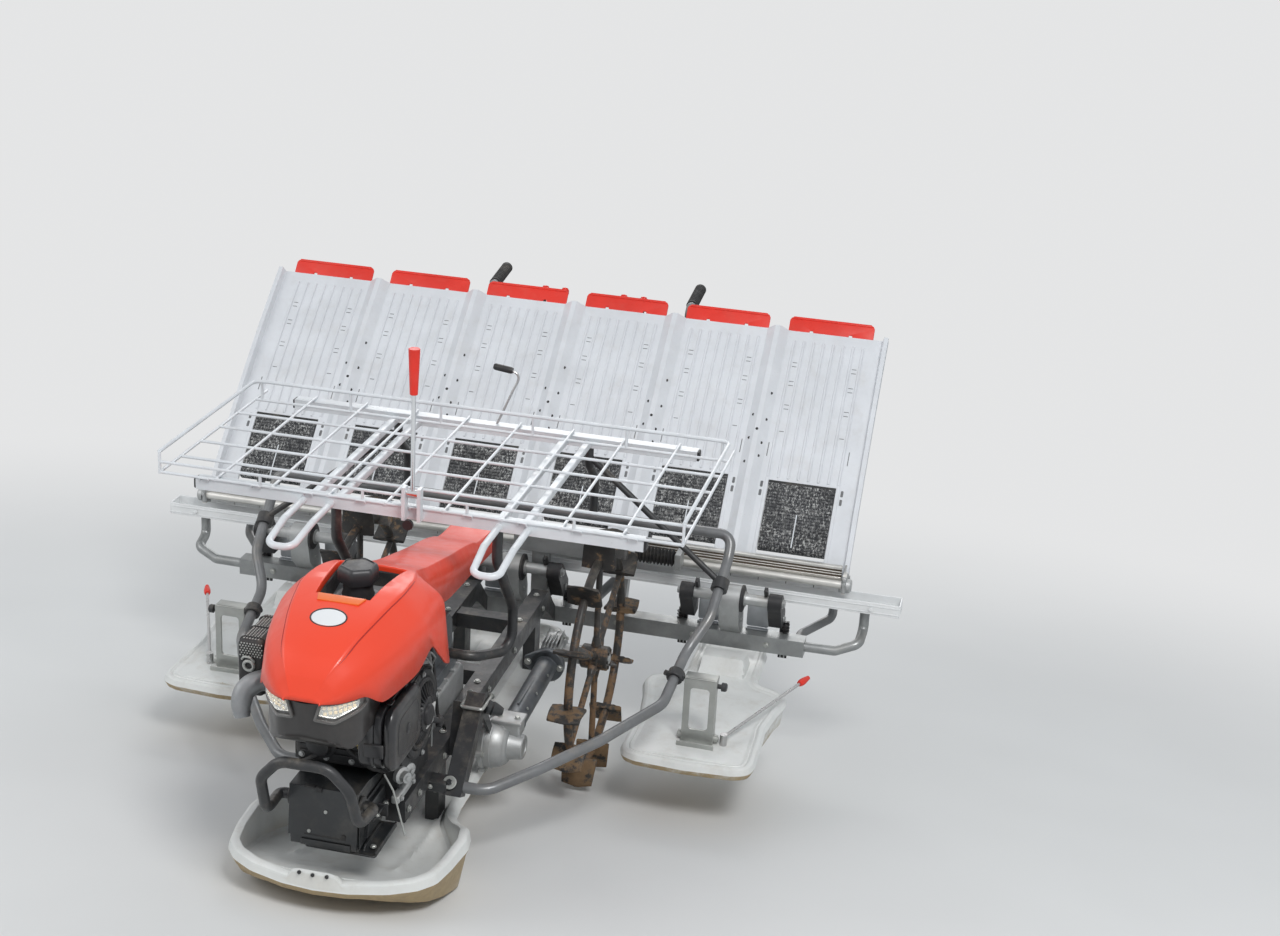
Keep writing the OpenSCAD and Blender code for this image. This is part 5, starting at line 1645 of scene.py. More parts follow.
@dataclass
class Wheel(Section):
    """A lugged paddy wheel: round rim, six spokes, a hub with its nuts, and twelve moulded lugs."""

    track: float = 315.0
    hub_z: float = 190.0
    rim_r: float = 268.0
    bar_r: float = 11.0
    reach: float = 330.0
    count: int = 12

    def lug(self) -> Shape:
        """One lug: a rounded block that narrows outwards and bows, its faces in slow waves with two ribs.

        Section at height t: half thickness 6.4 (1 - 0.3 t), half width 43 (1 - 0.12 t^2), drawn as a
        superellipse; the middle line bows by 5 sin(pi t).

        Returns:
            The lug over the wheel's top, in wheel coordinates (x across, y ahead, z up from the hub).
        """
        t = np.linspace(0, 1, 11)[:, None]
        a = angles(40)[None]
        low, high = self.rim_r - 14, self.reach - 1.5
        px = np.sign(np.cos(a)) * np.abs(np.cos(a))**0.35
        py = np.sign(np.sin(a)) * np.abs(np.sin(a))**0.35
        close = np.sqrt(np.clip(1 - np.clip((t - 0.9) / 0.1, 0, 1)**2, 0.02, 1))
        x = px * 43 * (1 - 0.12 * t**2) * close
        y = py * 6.4 * (1 - 0.3 * t) * close + 5 * np.sin(np.pi * t)
        z = low + (high - low) * t + 0 * a
        lump = 0.8 * np.sin(x * 0.21 + z * 0.17) * np.cos(z * 0.13 - x * 0.09)
        rib = 2.4 * np.exp(-((np.abs(x) - 22) / 3.2)**2) * (1 - t)
        y = y + np.sign(py) * (lump + rib)
        return solid(np.stack([x, y, z], -1))

    def make(self) -> tuple[Shape, Shape]:
        """Builds one wheel about its hub.

        Returns:
            The steel wheel and its lugs.
        """
        ring = np.linspace(0, 2 * np.pi, 97)[:-1]
        path = np.stack([0 * ring, self.rim_r * np.cos(ring), self.rim_r * np.sin(ring)], -1)
        rim = sweep(path, circle(self.bar_r, 16), closed=True)
        spoke = tube([(0, 0, 26), (0, 0, self.rim_r - 4)], 8, sides=14)
        web = lathe([(0, 0), (11, 0), (13, 4), (9, 26), (0, 26)], (0, 0, 30), Z, 20)
        hub = lathe([(15, -35), (28, -35), (31, -32), (31, -12), (34, -9), (34, 9), (31, 12), (31, 32),
                     (28, 35), (15, 35), (15, -35)], (0, 0, 0), X, 48)
        nuts = bolt((34.5, 22, 0), X, 5, False).spun(X, 6)
        steel = Shape.join([rim, (spoke + web).spun(X, 6), hub, nuts])
        lean = math.degrees(self.stance.lean)
        lugs = self.lug().turned(X, 15 - lean).spun(X, self.count)
        return steel, lugs

    def build(self) -> None:
        """Makes both wheels on their own bodies."""
        steel, lugs = self.make()
        for side, word in ((1, "left"), (-1, "right")):
            ride = f"wheel_unit_{word}"
            at = (side * self.track, 0, self.hub_z)
            frame = steel if side > 0 else steel.flipped()
            self.show(frame.moved(at), f"wheel_{word}_steel", Paint.WHEEL, f"wheel_{word}", ride=ride)
            self.show(lugs.moved(at), f"wheel_{word}_lugs", Paint.LUG, f"lugs_{word}", ride=ride, smooth=50)


# Small parts


def round_rect(centre: Pair, half: Pair, radius: float, steps: int = 6) -> Array:
    """A rectangle's outline, counter-clockwise, with a quarter arc about each corner's centre.

    Args:
        centre: its middle.
        half: half its width and half its height.
        radius: the corners' radius.
        steps: stretches in each arc.

    Returns:
        The outline's points.
    """
    turn = (np.arange(4) * np.pi / 2)[:, None] + np.linspace(0, np.pi / 2, steps + 1)[None]
    corner = np.array([(1, 1), (-1, 1), (-1, -1), (1, -1)]) * (np.asarray(half, float) - radius)
    arcs = np.stack([np.cos(turn), np.sin(turn)], -1) * radius + corner[:, None]
    return arcs.reshape(-1, 2) + np.asarray(centre, float)


def window_plate(outer: Array, inner: Array, low: float, high: float, edge: float,
                 axes: tuple[int, int, int] = (0, 2, 1)) -> Shape:
    """A flat plate between two outlines of equal point count, with both edges bevelled.

    Args:
        outer: outline of the plate.
        inner: outline of its window.
        low: height of one face.
        high: height of the other.
        edge: width of the bevel.
        axes: where the outline's x, y and the height go.

    Returns:
        The closed plate with its window.
    """
    step = np.array([edge, 0, 0, edge])
    rings = np.concatenate([outset(outer, -step), outset(inner, step)[::-1]])
    rise = np.array([low, low + edge, high - edge, high, high, high - edge, low + edge, low])
    pts = np.empty(rings.shape[:2] + (3,))
    pts[..., axes[0]], pts[..., axes[1]] = rings[..., 0], rings[..., 1]
    pts[..., axes[2]] = rise[:, None]
    return grid(pts, wrap_u=True, wrap_v=True).outward()


def side_plate(outline: list[Pair], low: float, high: float, edge: float = 2.0) -> Shape:
    """A plate whose outline lies in the machine's side view (y, z), from x low to x high."""
    return plate(np.array(outline, float), low, high, edge, (1, 2, 0))


def coil(start: Triple, end: Triple, radius: float, wire: float, turns: int) -> Shape:
    """A coil spring: a helix about the line from start to end, with the wire's circle carried along it.

    Args:
        start: one end of its middle line.
        end: the other.
        radius: the helix's radius.
        wire: the wire's radius.
        turns: how often it goes round.

    Returns:
        The spring.
    """
    a, b = np.asarray(start, float), np.asarray(end, float)
    t = np.linspace(0, 1, turns * 14 + 1)[:, None]
    axes = basis(tuple(b - a))
    turn = 2 * np.pi * turns * t
    path = a + (b - a) * t + radius * (np.cos(turn) * axes[0] + np.sin(turn) * axes[1])
    return sweep(path, circle(wire, 6))


# Engine and front box


@dataclass
class FrontBox(Section):
    """The black box under the lamps, folded from sheet, with its foot plate, lip, catch and bolts."""

    half: float = 75.0
    front: float = -1056.0
    back: float = -881.0
    low: float = 200.5
    seam: float = 222.0
    top: float = 334.5

    def body(self) -> Shape:
        """The folded front panel, the hood that slopes back from it, the side walls and the lip below."""
        f, b, h = self.front, self.back, self.half
        core = side_plate([(f + 5, self.low), (b, self.low), (b, 300), (-985, self.top - 2),
                           (f + 17, self.top - 6), (f + 5, self.seam)], -h + 3, h - 3, 2)
        panel = side_plate([(f, self.seam), (f + 4, self.seam), (f + 14, self.top - 2), (f + 10, self.top)],
                           -h, h, 1)
        hood = side_plate([(f + 11, self.top), (f + 11, self.top - 4), (-985, self.top - 4), (b + 30, 303),
                           (b + 30, 307), (-985, self.top)], -h, h, 1)
        lip = block((-48, f + 1, self.low), (60, f + 9, self.seam - 7), 2)
        walls = [block((s * h - 2, f + 16, self.low + 4), (s * h + 1, b - 4, 296), 1) for s in (-1, 1)]
        rail = side_plate([(-1012, 214), (-930, 214), (-912, 286), (-1000, 286)], h - 1, h + 9, 2)
        ledge = block((h, -1006, 252), (h + 20, -918, 257), 1.5)
        return Shape.join([core, panel, hood, lip, *walls, rail, ledge])

    def small(self) -> tuple[Shape, Shape]:
        """The bright rivets and bolts, the dark catch, and dark plates of painted shade for the slot and the
        hole.

        Returns:
            The bright and the dark parts.
        """
        f = self.front
        bright = [lathe([(0, 0), (4.2, 0), (3.6, 1.4), (0, 1.8)], (x, f + (z - self.seam) * 0.085 - 0.4, z),
                        (0, -1, 0.1), 14) for x, z in ((6, 284), (-29, 236))]
        bright += [bolt((self.half + 9.2, -985, 268), X, 6), bolt((96, -940, 258), Z, 6),
                   bolt((96, -990, 258), Z, 5), bolt((98, -1018, 200), Z, 6)]
        bright.append(tube([(99, -960, 340), (120, -962, 306), (148, -966, 206)], 2.2, 10, 10))
        # Painted shade: a dark disc and a dark bar on the panel stand for the hole and the slot.
        hole = disc(5.2, 1.2, (46, f + 0.6, 234), AHEAD, 16)
        slot = block((-40, f + 0.2, 226), (52, f + 3, 231), 1)
        catch = [block((-16, f + 6, 326), (-3, f + 16, 337), 1.5),
                 block((-44, f + 8, 332), (-19, f + 20, 336.5), 1)]
        return Shape.join(bright), Shape.join([hole, slot, *catch])

    def foot(self) -> Shape:
        """The foot plate that reaches out to the machine's left, with its turned-up edge."""
        flat = plate(round_rect((33, -973), (78, 69), 7), 188, 193, 1.2)
        edge = block((106, -1036, 189), (111, -910, 200), 1.5)
        brace = side_plate([(-1030, 193), (-916, 193), (-926, 203), (-1018, 203)], 78, 83, 1)
        return Shape.join([flat, edge, brace, block((-45, -1040, 192), (74, -906, 201), 1.5)])

    def build(self) -> None:
        """Makes the box, its small parts and the front loop."""
        self.show(self.body() + self.foot(), "front_box", Paint.PANEL, "engine_box")
        bright, dark = self.small()
        self.show(bright, "front_box_bolts", Paint.GALV)
        self.show(dark, "front_box_slots", Paint.BOOT)
        half = [(75.3, -1026, 298), (104, -1026, 298), (99, -1110, 303), (94, -1146, 400), (52, -1152, 448)]
        loop = half + [(-x, y, z) for x, y, z in half[::-1]]
        feet = [lathe([(0, 0), (21, 0), (21, 4), (15, 7), (0, 7)], (s * 75, -1026, 298), (s, 0, 0), 24)
                for s in (-1, 1)]
        self.show(Shape.join([tube(loop, 11.5, 44, 20, 8), *feet]), "front_loop", Paint.FRAME, "front_guard")


@dataclass
class EngineBay(Section):
    """What shows round the engine's block: blower, starter, air cleaner, carburettor, silencer and duct."""

    side: float = 104.3
    front: float = -944.0
    starter: Pair = (-777.0, 392.0)

    def starter_shape(self) -> tuple[Shape, Shape, Shape]:
        """The pull starter: a stepped disc with radial fins, its hub, and the blower ring round it.

        A fin follows the disc's cone: axial height 24.5 - 8.5 (r - 40) / 26.

        Returns:
            The cover with its pull, the blower ring with its bolts' ears, and the bolts.
        """
        at = (self.side, *self.starter)
        face = lathe([(0, 0), (78, 0), (80, 3), (80, 14), (77, 18), (72, 18), (69, 13.5), (66, 12), (40, 20),
                      (38, 27), (36, 25.5), (30, 26.5), (24, 27), (23, 32), (20, 35), (0, 36)], at, X, 64)
        fin = block((-1.1, 39, -4), (1.1, 67, 1.5), 0.5, 1)
        w, r, h = fin.verts.T
        rise = 24.5 - 8.5 * (r - 40) / 26 + h
        one = Shape(np.stack([at[0] + rise, at[1] + w, at[2] + r], -1), fin.faces).outward()
        fins = one.spun(X, 28, at)
        cord = tube([(118, -724, 352), (132, -712, 344), (136, -700, 340)], 7, 8)
        handle = cord + block((126, -712, 326), (142, -694, 352), 5)
        ring = lathe([(81, 0), (97, 0), (100, 3), (100, 10), (96, 14), (86, 15), (81, 13), (81, 0)], at, X,
                     64)
        housing = side_plate([(-884, 300), (-700, 300), (-692, 330), (-692, 470), (-716, 492), (-850, 492),
                              (-884, 452)], self.side - 2, self.side + 7, 3)
        ears = disc(10, 16, (at[0], at[1], at[2] + 94), X, 16)
        screws = bolt((at[0] + 16, at[1], at[2] + 94), X, 5.5)
        return Shape.join([face, fins, handle]), ring + housing + ears.spun(X, 4, at), screws.spun(X, 4, at)

    def cleaner(self) -> Shape:
        """The air cleaner: a base and a deeper cover with a seam between, a raised frame and a wing knob."""
        middle = (-956, 456)
        base = plate(round_rect(middle, (86, 68), 34, 8), self.side + 0.2, 121, 3, (1, 2, 0))
        cover = plate(round_rect(middle, (90, 72), 37, 10), 122.5, 150, 17, (1, 2, 0), 8)
        inner = plate(round_rect((-998, 452), (46, 60), 26, 8), 70, 106, 10, (1, 2, 0), 5)
        frame = window_plate(round_rect(middle, (62, 46), 24, 8), round_rect(middle, (58, 42), 21, 8), 148.8,
                             151, 0.7, (1, 2, 0))
        knob = lathe([(0, 0), (12, 0), (12, 2), (9, 4), (0, 5)], (149, *middle), X, 24)
        snout = block((84, -1046.3, 424), (128, -1038, 456), 4)
        clips = [block((116, y, z), (129, y + 22, z + 5), 2) for y, z in ((-1000, 523), (-912, 385))]
        return Shape.join([base, cover, inner, frame, knob, snout, *clips])

    def front_parts(self) -> dict[Paint, Shape]:
        """Carburettor, hoses, cover plate and drain in front of and beside the block.

        Returns:
            The shapes by finish.
        """
        f = self.front
        cover = plate(round_rect((-6, 402), (90, 56), 20), f - 12, f + 1, 3, (0, 2, 1))
        ribs = [block((-88, f - 16, z), (76, f - 11, z + 3), 1) for z in (364, 378, 392, 406, 420, 434)]
        fins = [block((88, -898, z), (116, -762, z + 3), 1.2, 1) for z in np.arange(474, 546, 11)]
        boss = lathe([(0, 0), (34, 0), (34, 6), (26, 9), (22, 20), (14, 22), (0, 22)], (-40, f - 11, 388),
                     AHEAD, 32)
        reach = block((60, -958, 428), (104, -930, 458), 6)
        neck = tube([(52, -968, 444), (80, -968, 448), (106, -962, 458)], 17, 20)
        dark = Shape.join([cover, *ribs, *fins, boss, reach, neck,
                           block((-104, f - 6, 232), (104, f, 262), 3)])
        bolts_at = [(x, f - 12, z) for x in (-84, -30, 26, 74) for z in (354, 450)]
        carb = lathe([(0, 0), (13, 0), (16, 4), (16, 24), (12, 29), (5, 30), (5, 38), (0, 38)],
                     (48, -968, 434), (0, 0, -1), 28) + block((34, -984, 432), (62, -952, 450), 4)
        slope = (1, -0.5, 0)
        drain = Shape.join([
            lathe([(0, 0), (19, 0), (19, 9), (13, 13), (12, 24), (0, 25)], (106, -884, 300), slope, 28),
            lathe([(0, 0), (16, 0), (16, 8), (10, 12), (0, 13)], (106, -832, 284), slope, 24),
            block((98, -916, 244), (116, -806, 262), 4), block((-64, -1000, 462), (-40, -950, 470), 3)])
        bright = Shape.join([
            bolts(bolts_at, AHEAD, 6), bolt((127, -895, 300), slope, 6), bolt((117, -838, 284), slope, 6),
            bolts([(117, -900, 253), (117, -826, 253)], X, 6)])
        links = [tube(p, 2.1, 12, 8) for p in (
            [(108, -790, 540), (120, -762, 518), (122, -726, 482), (112, -706, 446)],
            [(106, -770, 548), (126, -740, 520), (126, -716, 498), (112, -700, 470)],
            [(108, -744, 544), (118, -724, 500), (116, -700, 420), (112, -690, 330), (110, -684, 262)])]
        springs = [coil((117, -790, 520), (117, -744, 500), 4.5, 1, 9),
                   coil((122, -752, 528), (116, -724, 484), 4, 1, 8)]
        silver = Shape.join([drain, bright, *links, *springs])
        hoses = [tube(p, r, 24, 10) for p, r in (
            ([(36, -880, 556), (70, -930, 548), (66, -972, 500), (50, -968, 448)], 4.5),
            ([(70, -900, 560), (108, -880, 556), (124, -842, 566), (118, -800, 590)], 4.5),
            ([(-20, -960, 452), (10, -986, 430), (40, -992, 396), (72, -960, 348), (92, -930, 330)], 5),
            ([(96, -742, 556), (112, -704, 520), (112, -680, 440), (108, -640, 320), (100, -560, 240)], 4),
            ([(-30, -958, 372), (-64, -984, 356), (-84, -960, 336), (-96, -930, 334)], 6))]
        plug = lathe([(0, 0), (10, 0), (12, 6), (12, 26), (8, 32), (0, 34)], (60, -898, 520), (0.5, -1, 0.3),
                     20)
        return {Paint.ENGINE: dark, Paint.BRASS: carb, Paint.CASE: silver,
                Paint.BOOT: Shape.join([*hoses, plug])}

    def silencer(self) -> tuple[Shape, Shape]:
        """The silencer's round-cornered shell with bands, its outlet, pipe and bracket, and its perforations.

        The perforations stand in rows. On the front and the side every second row is moved by half a pitch.

        Returns:
            The dark shell and the bright perforations with the outlet's ring.
        """
        shell = plate(round_rect((-210, 515), (29, 64), 13), -924, -786, 9, (0, 2, 1), 5)
        bands = [sweep(np.insert(round_rect((-210, 515), (29.6, 64.6), 13), 1, y, 1), circle(2.2, 8),
                       closed=True) for y in (-905, -855, -805)]
        pipe = tube([(-104, -820, 506), (-140, -822, 512), (-184, -830, 516)], 13, 20)
        arm = block((-184, -884, 455), (-103, -832, 465), 3)
        eye = disc(8, 0.8, (-212, -924.8, 524), AHEAD, 20)
        dark = Shape.join([shell, *bands, pipe, arm, eye])
        holes = []
        for facing, free, us, vs, level, shift in (
                (AHEAD, [0, 2], (-232, -187, 6.4), (545, 576, 5.6), -924.2, 3.2),
                ((-1, 0, 0), [1, 2], (-912, -796, 6.4), (470, 570, 6.4), -239.2, 3.2),
                (Z, [0, 1], (-228, -191, 6.4), (-912, -796, 6.4), 579.2, 0)):
            u, v = np.meshgrid(np.arange(*us), np.arange(*vs))
            u = u + (np.arange(len(u)) % 2 * shift)[:, None]
            spots = np.full((u.size, 3), level)
            spots[:, free] = np.stack([u.ravel(), v.ravel()], -1)
            holes.append(lathe([(0, 0), (2.1, 0), (1.6, 0.9), (0, 1.0)], (0, 0, 0), facing, 6).copies(spots))
        ring = lathe([(8, 0), (14, 0), (14, 5), (11, 7), (8, 6), (8, 0)], (-212, -924, 524), AHEAD, 28)
        arc = tube([(-228, -926, 536), (-222, -930, 545), (-208, -930, 545), (-200, -926, 534)], 2.4, 8, 8)
        return dark, Shape.join([*holes, ring, arc])

    def duct(self) -> Shape:
        """The pale duct: round sections whose radius swells to 23 and narrows towards its outlet."""
        path = spline([(-104, -896, 462), (-146, -918, 494), (-180, -944, 502), (-203, -966, 488),
                       (-207, -980, 462), (-201, -988, 436)], 34)
        size = np.interp(np.linspace(0, 1, 34), [0, 0.25, 0.5, 0.75, 0.92, 1], [17, 20, 23, 22, 18, 16]) / 20
        body = sweep(path, circle(20, 28), scale=size)
        lips = [lathe([(r - 3, -2), (r + 1.2, -2), (r + 1.2, 2), (r - 3, 2), (r - 3, -2)], tuple(path[k]),
                      tuple(path[k + 1] - path[k - 1]), 28) for k, r in ((12, 21.6), (31, 17.4))]
        return Shape.join([body, *lips])

    def build(self) -> None:
        """Makes every part of the bay."""
        cover, ring, screws = self.starter_shape()
        self.show(cover, "starter_cover", Paint.COVER, "recoil_starter")
        self.show(ring, "blower_ring", Paint.ENGINE)
        self.show(screws, "blower_bolts", Paint.CASE)
        label = side_plate([(-787, 362), (-745, 360), (-729, 399), (-757, 404)], 129.5, 133.2, 0.5)
        self.show(label, "bare_plate", Paint.PLATE_DULL)
        self.show(self.cleaner(), "air_box", Paint.GLOSS, "air_cleaner")
        for paint, shape in self.front_parts().items():
            self.show(shape, "engine_parts_" + paint.name.lower(), paint)
        dark, dots = self.silencer()
        self.show(dark, "silencer_shell", Paint.SHIELD, "muffler")
        self.show(dots, "silencer_holes", Paint.GALV)
        self.show(self.duct(), "duct_shell", Paint.DUCT, "cooling_duct")


# Running gear


@dataclass
class Running(Section):
    """Swing cases, struts, guards and float brackets on both sides."""

    pivot: Pair = (-410.0, 137.0)
    arm: float = 208.0
    hub: float = 190.0
    clamp: tuple[Triple, Triple] = ((540.0, -235.0, 214.0), (556.0, -60.0, 272.0))
    bracket: Pair = (612.0, -140.0)

    def casting(self) -> Shape:
        """The left swing case's castings: bell with ribs and ears, clamp, and gear housing with its shaft."""
        at = (150.4, *self.pivot)
        bell = lathe([(0, 0), (64, 0), (66, 2), (66, 11), (64, 13), (61, 13.5), (60.5, 17), (59, 30),
                      (54, 46), (46, 58), (40, 63), (35, 64), (34, 68), (29, 96), (27, 98), (20, 98),
                      (19, 96), (0, 96)], at, X, 64)
        dome = [lathe([(s - 1.5, 0), (s + 1.2, 1), (s - 1.5, 3.5), (s - 1.5, 0)], (at[0] + h, *self.pivot), X,
                      56) for s, h in ((59.5, 27), (47, 55))]
        ear = disc(10, 14, (at[0], at[1], at[2] + 63), X, 16)
        web = block((-1.8, 24, 10), (1.8, 58, 60), 1.2, 1)
        w, r, h = web.verts.T
        r = np.minimum(r, 24 + 34 * (1 - (h - 10) / 56))
        rib = Shape(np.stack([at[0] + h, at[1] + w, at[2] + r], -1), web.faces).outward()
        box = block((172, -420, 160), (238, -371, 203), 6) + block((168, -424, 196), (242, -366, 204), 3)
        gear = lathe([(0, 0), (44, 0), (48, 4), (48, 18), (51, 19), (51, 25), (48, 26), (48, 40), (43, 44),
                      (0, 44)], (self.arm - 22, 0, self.hub), X, 56)
        neck = side_plate([(-60, 144), (-60, 224), (-10, 236), (10, 236), (10, 146)], self.arm - 19,
                          self.arm + 19, 8)
        lid = lathe([(0, 0), (34, 0), (34, 4), (26, 7), (0, 7)], (self.arm + 22, 0, self.hub), X, 40)
        shaft = lathe([(0, 0), (24, 0), (24, 48), (22, 50), (14, 50), (14, 122), (12, 124), (0, 124)],
                      (self.arm + 20, 0, self.hub), X, 28)
        ribs = [block((self.arm - 20 + 9 * k, -58, 226), (self.arm - 17 + 9 * k, -8, 240), 1.2)
                for k in range(5)]
        return Shape.join([bell, *dome, ear.turned(X, 30, at).spun(X, 6, at), rib.spun(X, 8, at), box,
                           gear, neck, lid, shaft, *ribs])

    def axle_tube(self) -> Shape:
        """The dark tube from the clamp back to the flange, with its weld beads, flange and lug."""
        a, b = np.array([self.arm, -392, 173.0]), np.array([self.arm, -62, 184.0])
        along = tuple(b - a)
        pipe = disc(27, 330.2, tuple(a), along, 40)
        beads = [lathe([(26, 0), (29.5, 1.5), (29.5, 5), (26, 7), (26, 0)], tuple(a + (b - a) * t), along, 40)
                 for t in (0.08, 0.93)]
        flange = lathe([(0, 0), (42, 0), (44, 2), (44, 16), (42, 18), (0, 18)], (self.arm, -78, 184), Y, 44)
        lug = plate(np.array([(-60, 178), (-30, 158), (10, 150), (10, 226), (-30, 218), (-58, 202)], float),
                    -78, -66, 2.5, (0, 2, 1)).moved((self.arm, 0, 0))
        strap = block((self.arm - 3, -330, 196), (self.arm + 3, -120, 207), 2)
        return Shape.join([pipe, *beads, flange, lug, strap])

    def case_bolts(self) -> Shape:
        """Bolts of the swing case."""
        pivot = (0, *self.pivot)
        first = bolt((164.4, self.pivot[0], self.pivot[1] + 63), X, 6)
        ring = first.turned(X, 30, pivot).spun(X, 6, pivot)
        top = bolts([(184, -396, 204), (226, -396, 204)], Z, 7)
        gear = bolt((self.arm + 22, 0, self.hub + 42), X, 5).spun(X, 6, (0, 0, self.hub))
        lug = bolts([(self.arm - 48, -79, 190), (self.arm + 34, -79, 184)], AHEAD, 8)
        holes = bolts([(self.arm + 22, y, 196) for y in (-330, -250, -150)], (1, 0, 0.5), 4, False)
        return Shape.join([ring, top, gear, lug, holes])

    def gearcase(self) -> tuple[Shape, Shape]:
        """The gearcase between the beams: a ribbed casting below, with a narrower dark column on it.

        Returns:
            The casting, and the dark column with the bonnet's stay.
        """
        low = side_plate([(-545, 160), (-528, 137), (-347, 137), (-330, 160), (-330, 284), (-347, 300),
                          (-528, 300), (-545, 284)], -72, 72, 7)
        pivot = lathe([(0, 0), (44, 0), (44, 8), (38, 12), (38, 288), (44, 292), (44, 300), (0, 300)],
                      (-150, *self.pivot), X, 48)
        ribs = [block((-70, y, 150), (70, y + 5, 306), 2) for y in (-500, -450, -400, -362)]
        ribs += [block((-66 + 26 * k, -549, 168), (-62 + 26 * k, -544, 276), 1.5) for k in range(6)]
        column = side_plate([(-545, 290), (-330, 290), (-330, 404), (-352, 430), (-520, 430), (-545, 404)],
                            -42, 42, 7)
        webs = side_plate([(-532, 298), (-344, 298), (-352, 330), (-524, 330)], -60, 60, 4)
        stay = block((-38, -466, 424), (38, -414, 585.7), 4)
        return Shape.join([low, pivot, *ribs]), Shape.join([column, webs, stay])

    def strut_parts(self) -> tuple[Shape, Shape]:
        """Fastenings of the left strut: the washer and bolt below, the U-bolt and the rubber buffer above.

        Returns:
            The bright and the dark parts.
        """
        low, face = (162, -709, 192), (0, -0.707, 0.707)
        washer = lathe([(0, 0), (15.5, 0), (15.5, 2.5), (14, 3.5), (0, 3.5)], low, face, 28)
        stud = bolt((162, -711.8, 194.8), face, 8, False)
        u = tube([(146, -520, 318), (146, -588, 318), (196, -588, 318), (196, -520, 318)], 4, 8, 10)
        nuts = bolts([(146, -520, 318), (196, -520, 318)], Y, 7)
        buffer = lathe([(0, 0), (15, 0), (17, 4), (15, 12), (17, 16), (13, 30), (9, 40), (0, 42)],
                       (193, -548, 306), (1, 0.25, -0.35), 26)
        channel = block((104, -724, 171), (158, -680, 196), 4)
        arm = side_plate([(-552, 318), (-520, 316), (-440, 196), (-452, 188), (-540, 296)], 168, 176, 2)
        cup = lathe([(0, 0), (9, 0), (9, 7), (6, 9), (0, 9)], (128, -704, 171), (0, 0, -1), 20)
        bright = Shape.join([washer, u, nuts, cup, bolts([(122, -725, 184)], AHEAD, 5)])
        return bright, Shape.join([stud, buffer, channel, arm])

    def guard(self) -> Shape:
        """The left guard tube: out from the strut, up past the wheel and across behind the rack."""
        return tube([(192.3, -698, 180), (244, -698, 180), (330, -600, 194), (437, -442, 205), *self.clamp,
                     (600, 0, 345), (612, 140, 447), (612, 176, 498), (0.15, 176, 498)], 13, 92, 20, 9)

    def bracket_parts(self) -> tuple[Shape, Shape]:
        """The left float's bracket: a windowed sheet with flanges on a hinged foot, and its black clamp.

        Returns:
            The galvanised and the black parts.
        """
        x, y = self.bracket
        face = window_plate(round_rect((0, 156), (40, 90), 5), round_rect((0, 164), (24, 56), 9), -3, 3, 0.8)
        flange = side_plate([(3, 70), (40, 70), (22, 98), (18, 206), (32, 240), (32, 245.5), (3, 245.5)],
                            -1.5, 1.5, 0.6)
        cap = block((-40, -3, 241.5), (40, 33, 246), 1.4)
        foot = block((-46, -28, 65.4), (46, 46, 70), 1.4) + block((-46, -28, 68), (46, -24, 84), 1.4)
        pin = disc(5, 104, (-52, 12, 84), X, 16)
        knuckles = [disc(10, 14, (k, 12, 84), X, 20) for k in (-50, -14, 36)]
        frets = bolts([(-34, -12, 70), (34, -12, 70), (-34, 34, 70), (34, 34, 70)], Z, 6)
        side = [flange.moved((s * 38.5, 0, 0)) for s in (-1, 1)]
        steel = Shape.join([face, *side, cap, foot, pin, *knuckles, frets]).moved((x, y, 0))
        a, b = (np.asarray(p) for p in self.clamp)
        spot, along = a + (b - a) * 0.54, unit(b - a)
        collar = lathe([(13.2, -13), (19, -13), (20.5, -11), (20.5, 11), (19, 13), (13.2, 13), (13.2, -13)],
                       tuple(spot), tuple(along), 36)
        ears = block((spot[0] + 14, spot[1] - 9, spot[2] - 9), (x - 41, spot[1] + 9, spot[2] + 7), 2.5)
        knob = lathe([(0, 0), (6, 0), (6, 8), (11, 10), (11, 20), (8, 23), (0, 23)], (x + 40, y + 14, 226), X,
                     20)
        stub = disc(7, 14, tuple(spot - along * 2 + [-24, -8, 10]), (0.6, 0.4, -0.4), 16)
        return steel, Shape.join([collar, ears, knob, stub])

    def build(self) -> None:
        """Makes both sides."""
        swing = self.casting()
        self.show(swing, "swing_case_left", Paint.CASE, "axle_case_left")
        self.show(swing.flipped(), "swing_case_right", Paint.CASE, "axle_case_right")
        case, column = self.gearcase()
        self.show(case, "gearcase_casting", Paint.CASE, "transmission")
        self.show(column, "gearcase_column", Paint.DARKTUBE)
        self.show(self.axle_tube().both(), "axle_tubes", Paint.DARKTUBE)
        self.show(self.case_bolts().both(), "swing_case_bolts", Paint.GALV)
        bright, dark = self.strut_parts()
        self.show(bright.both(), "strut_bolts", Paint.GALV)
        self.show(dark.both(), "strut_fittings", Paint.PANEL)
        self.show(self.guard().both(), "guard_tubes", Paint.TUBE, "side_guards")
        steel, black = self.bracket_parts()
        self.show(steel.both(), "float_bracket_sheets", Paint.GALV, "float_brackets")
        self.show(black.both(), "guard_clamps", Paint.FRAME)


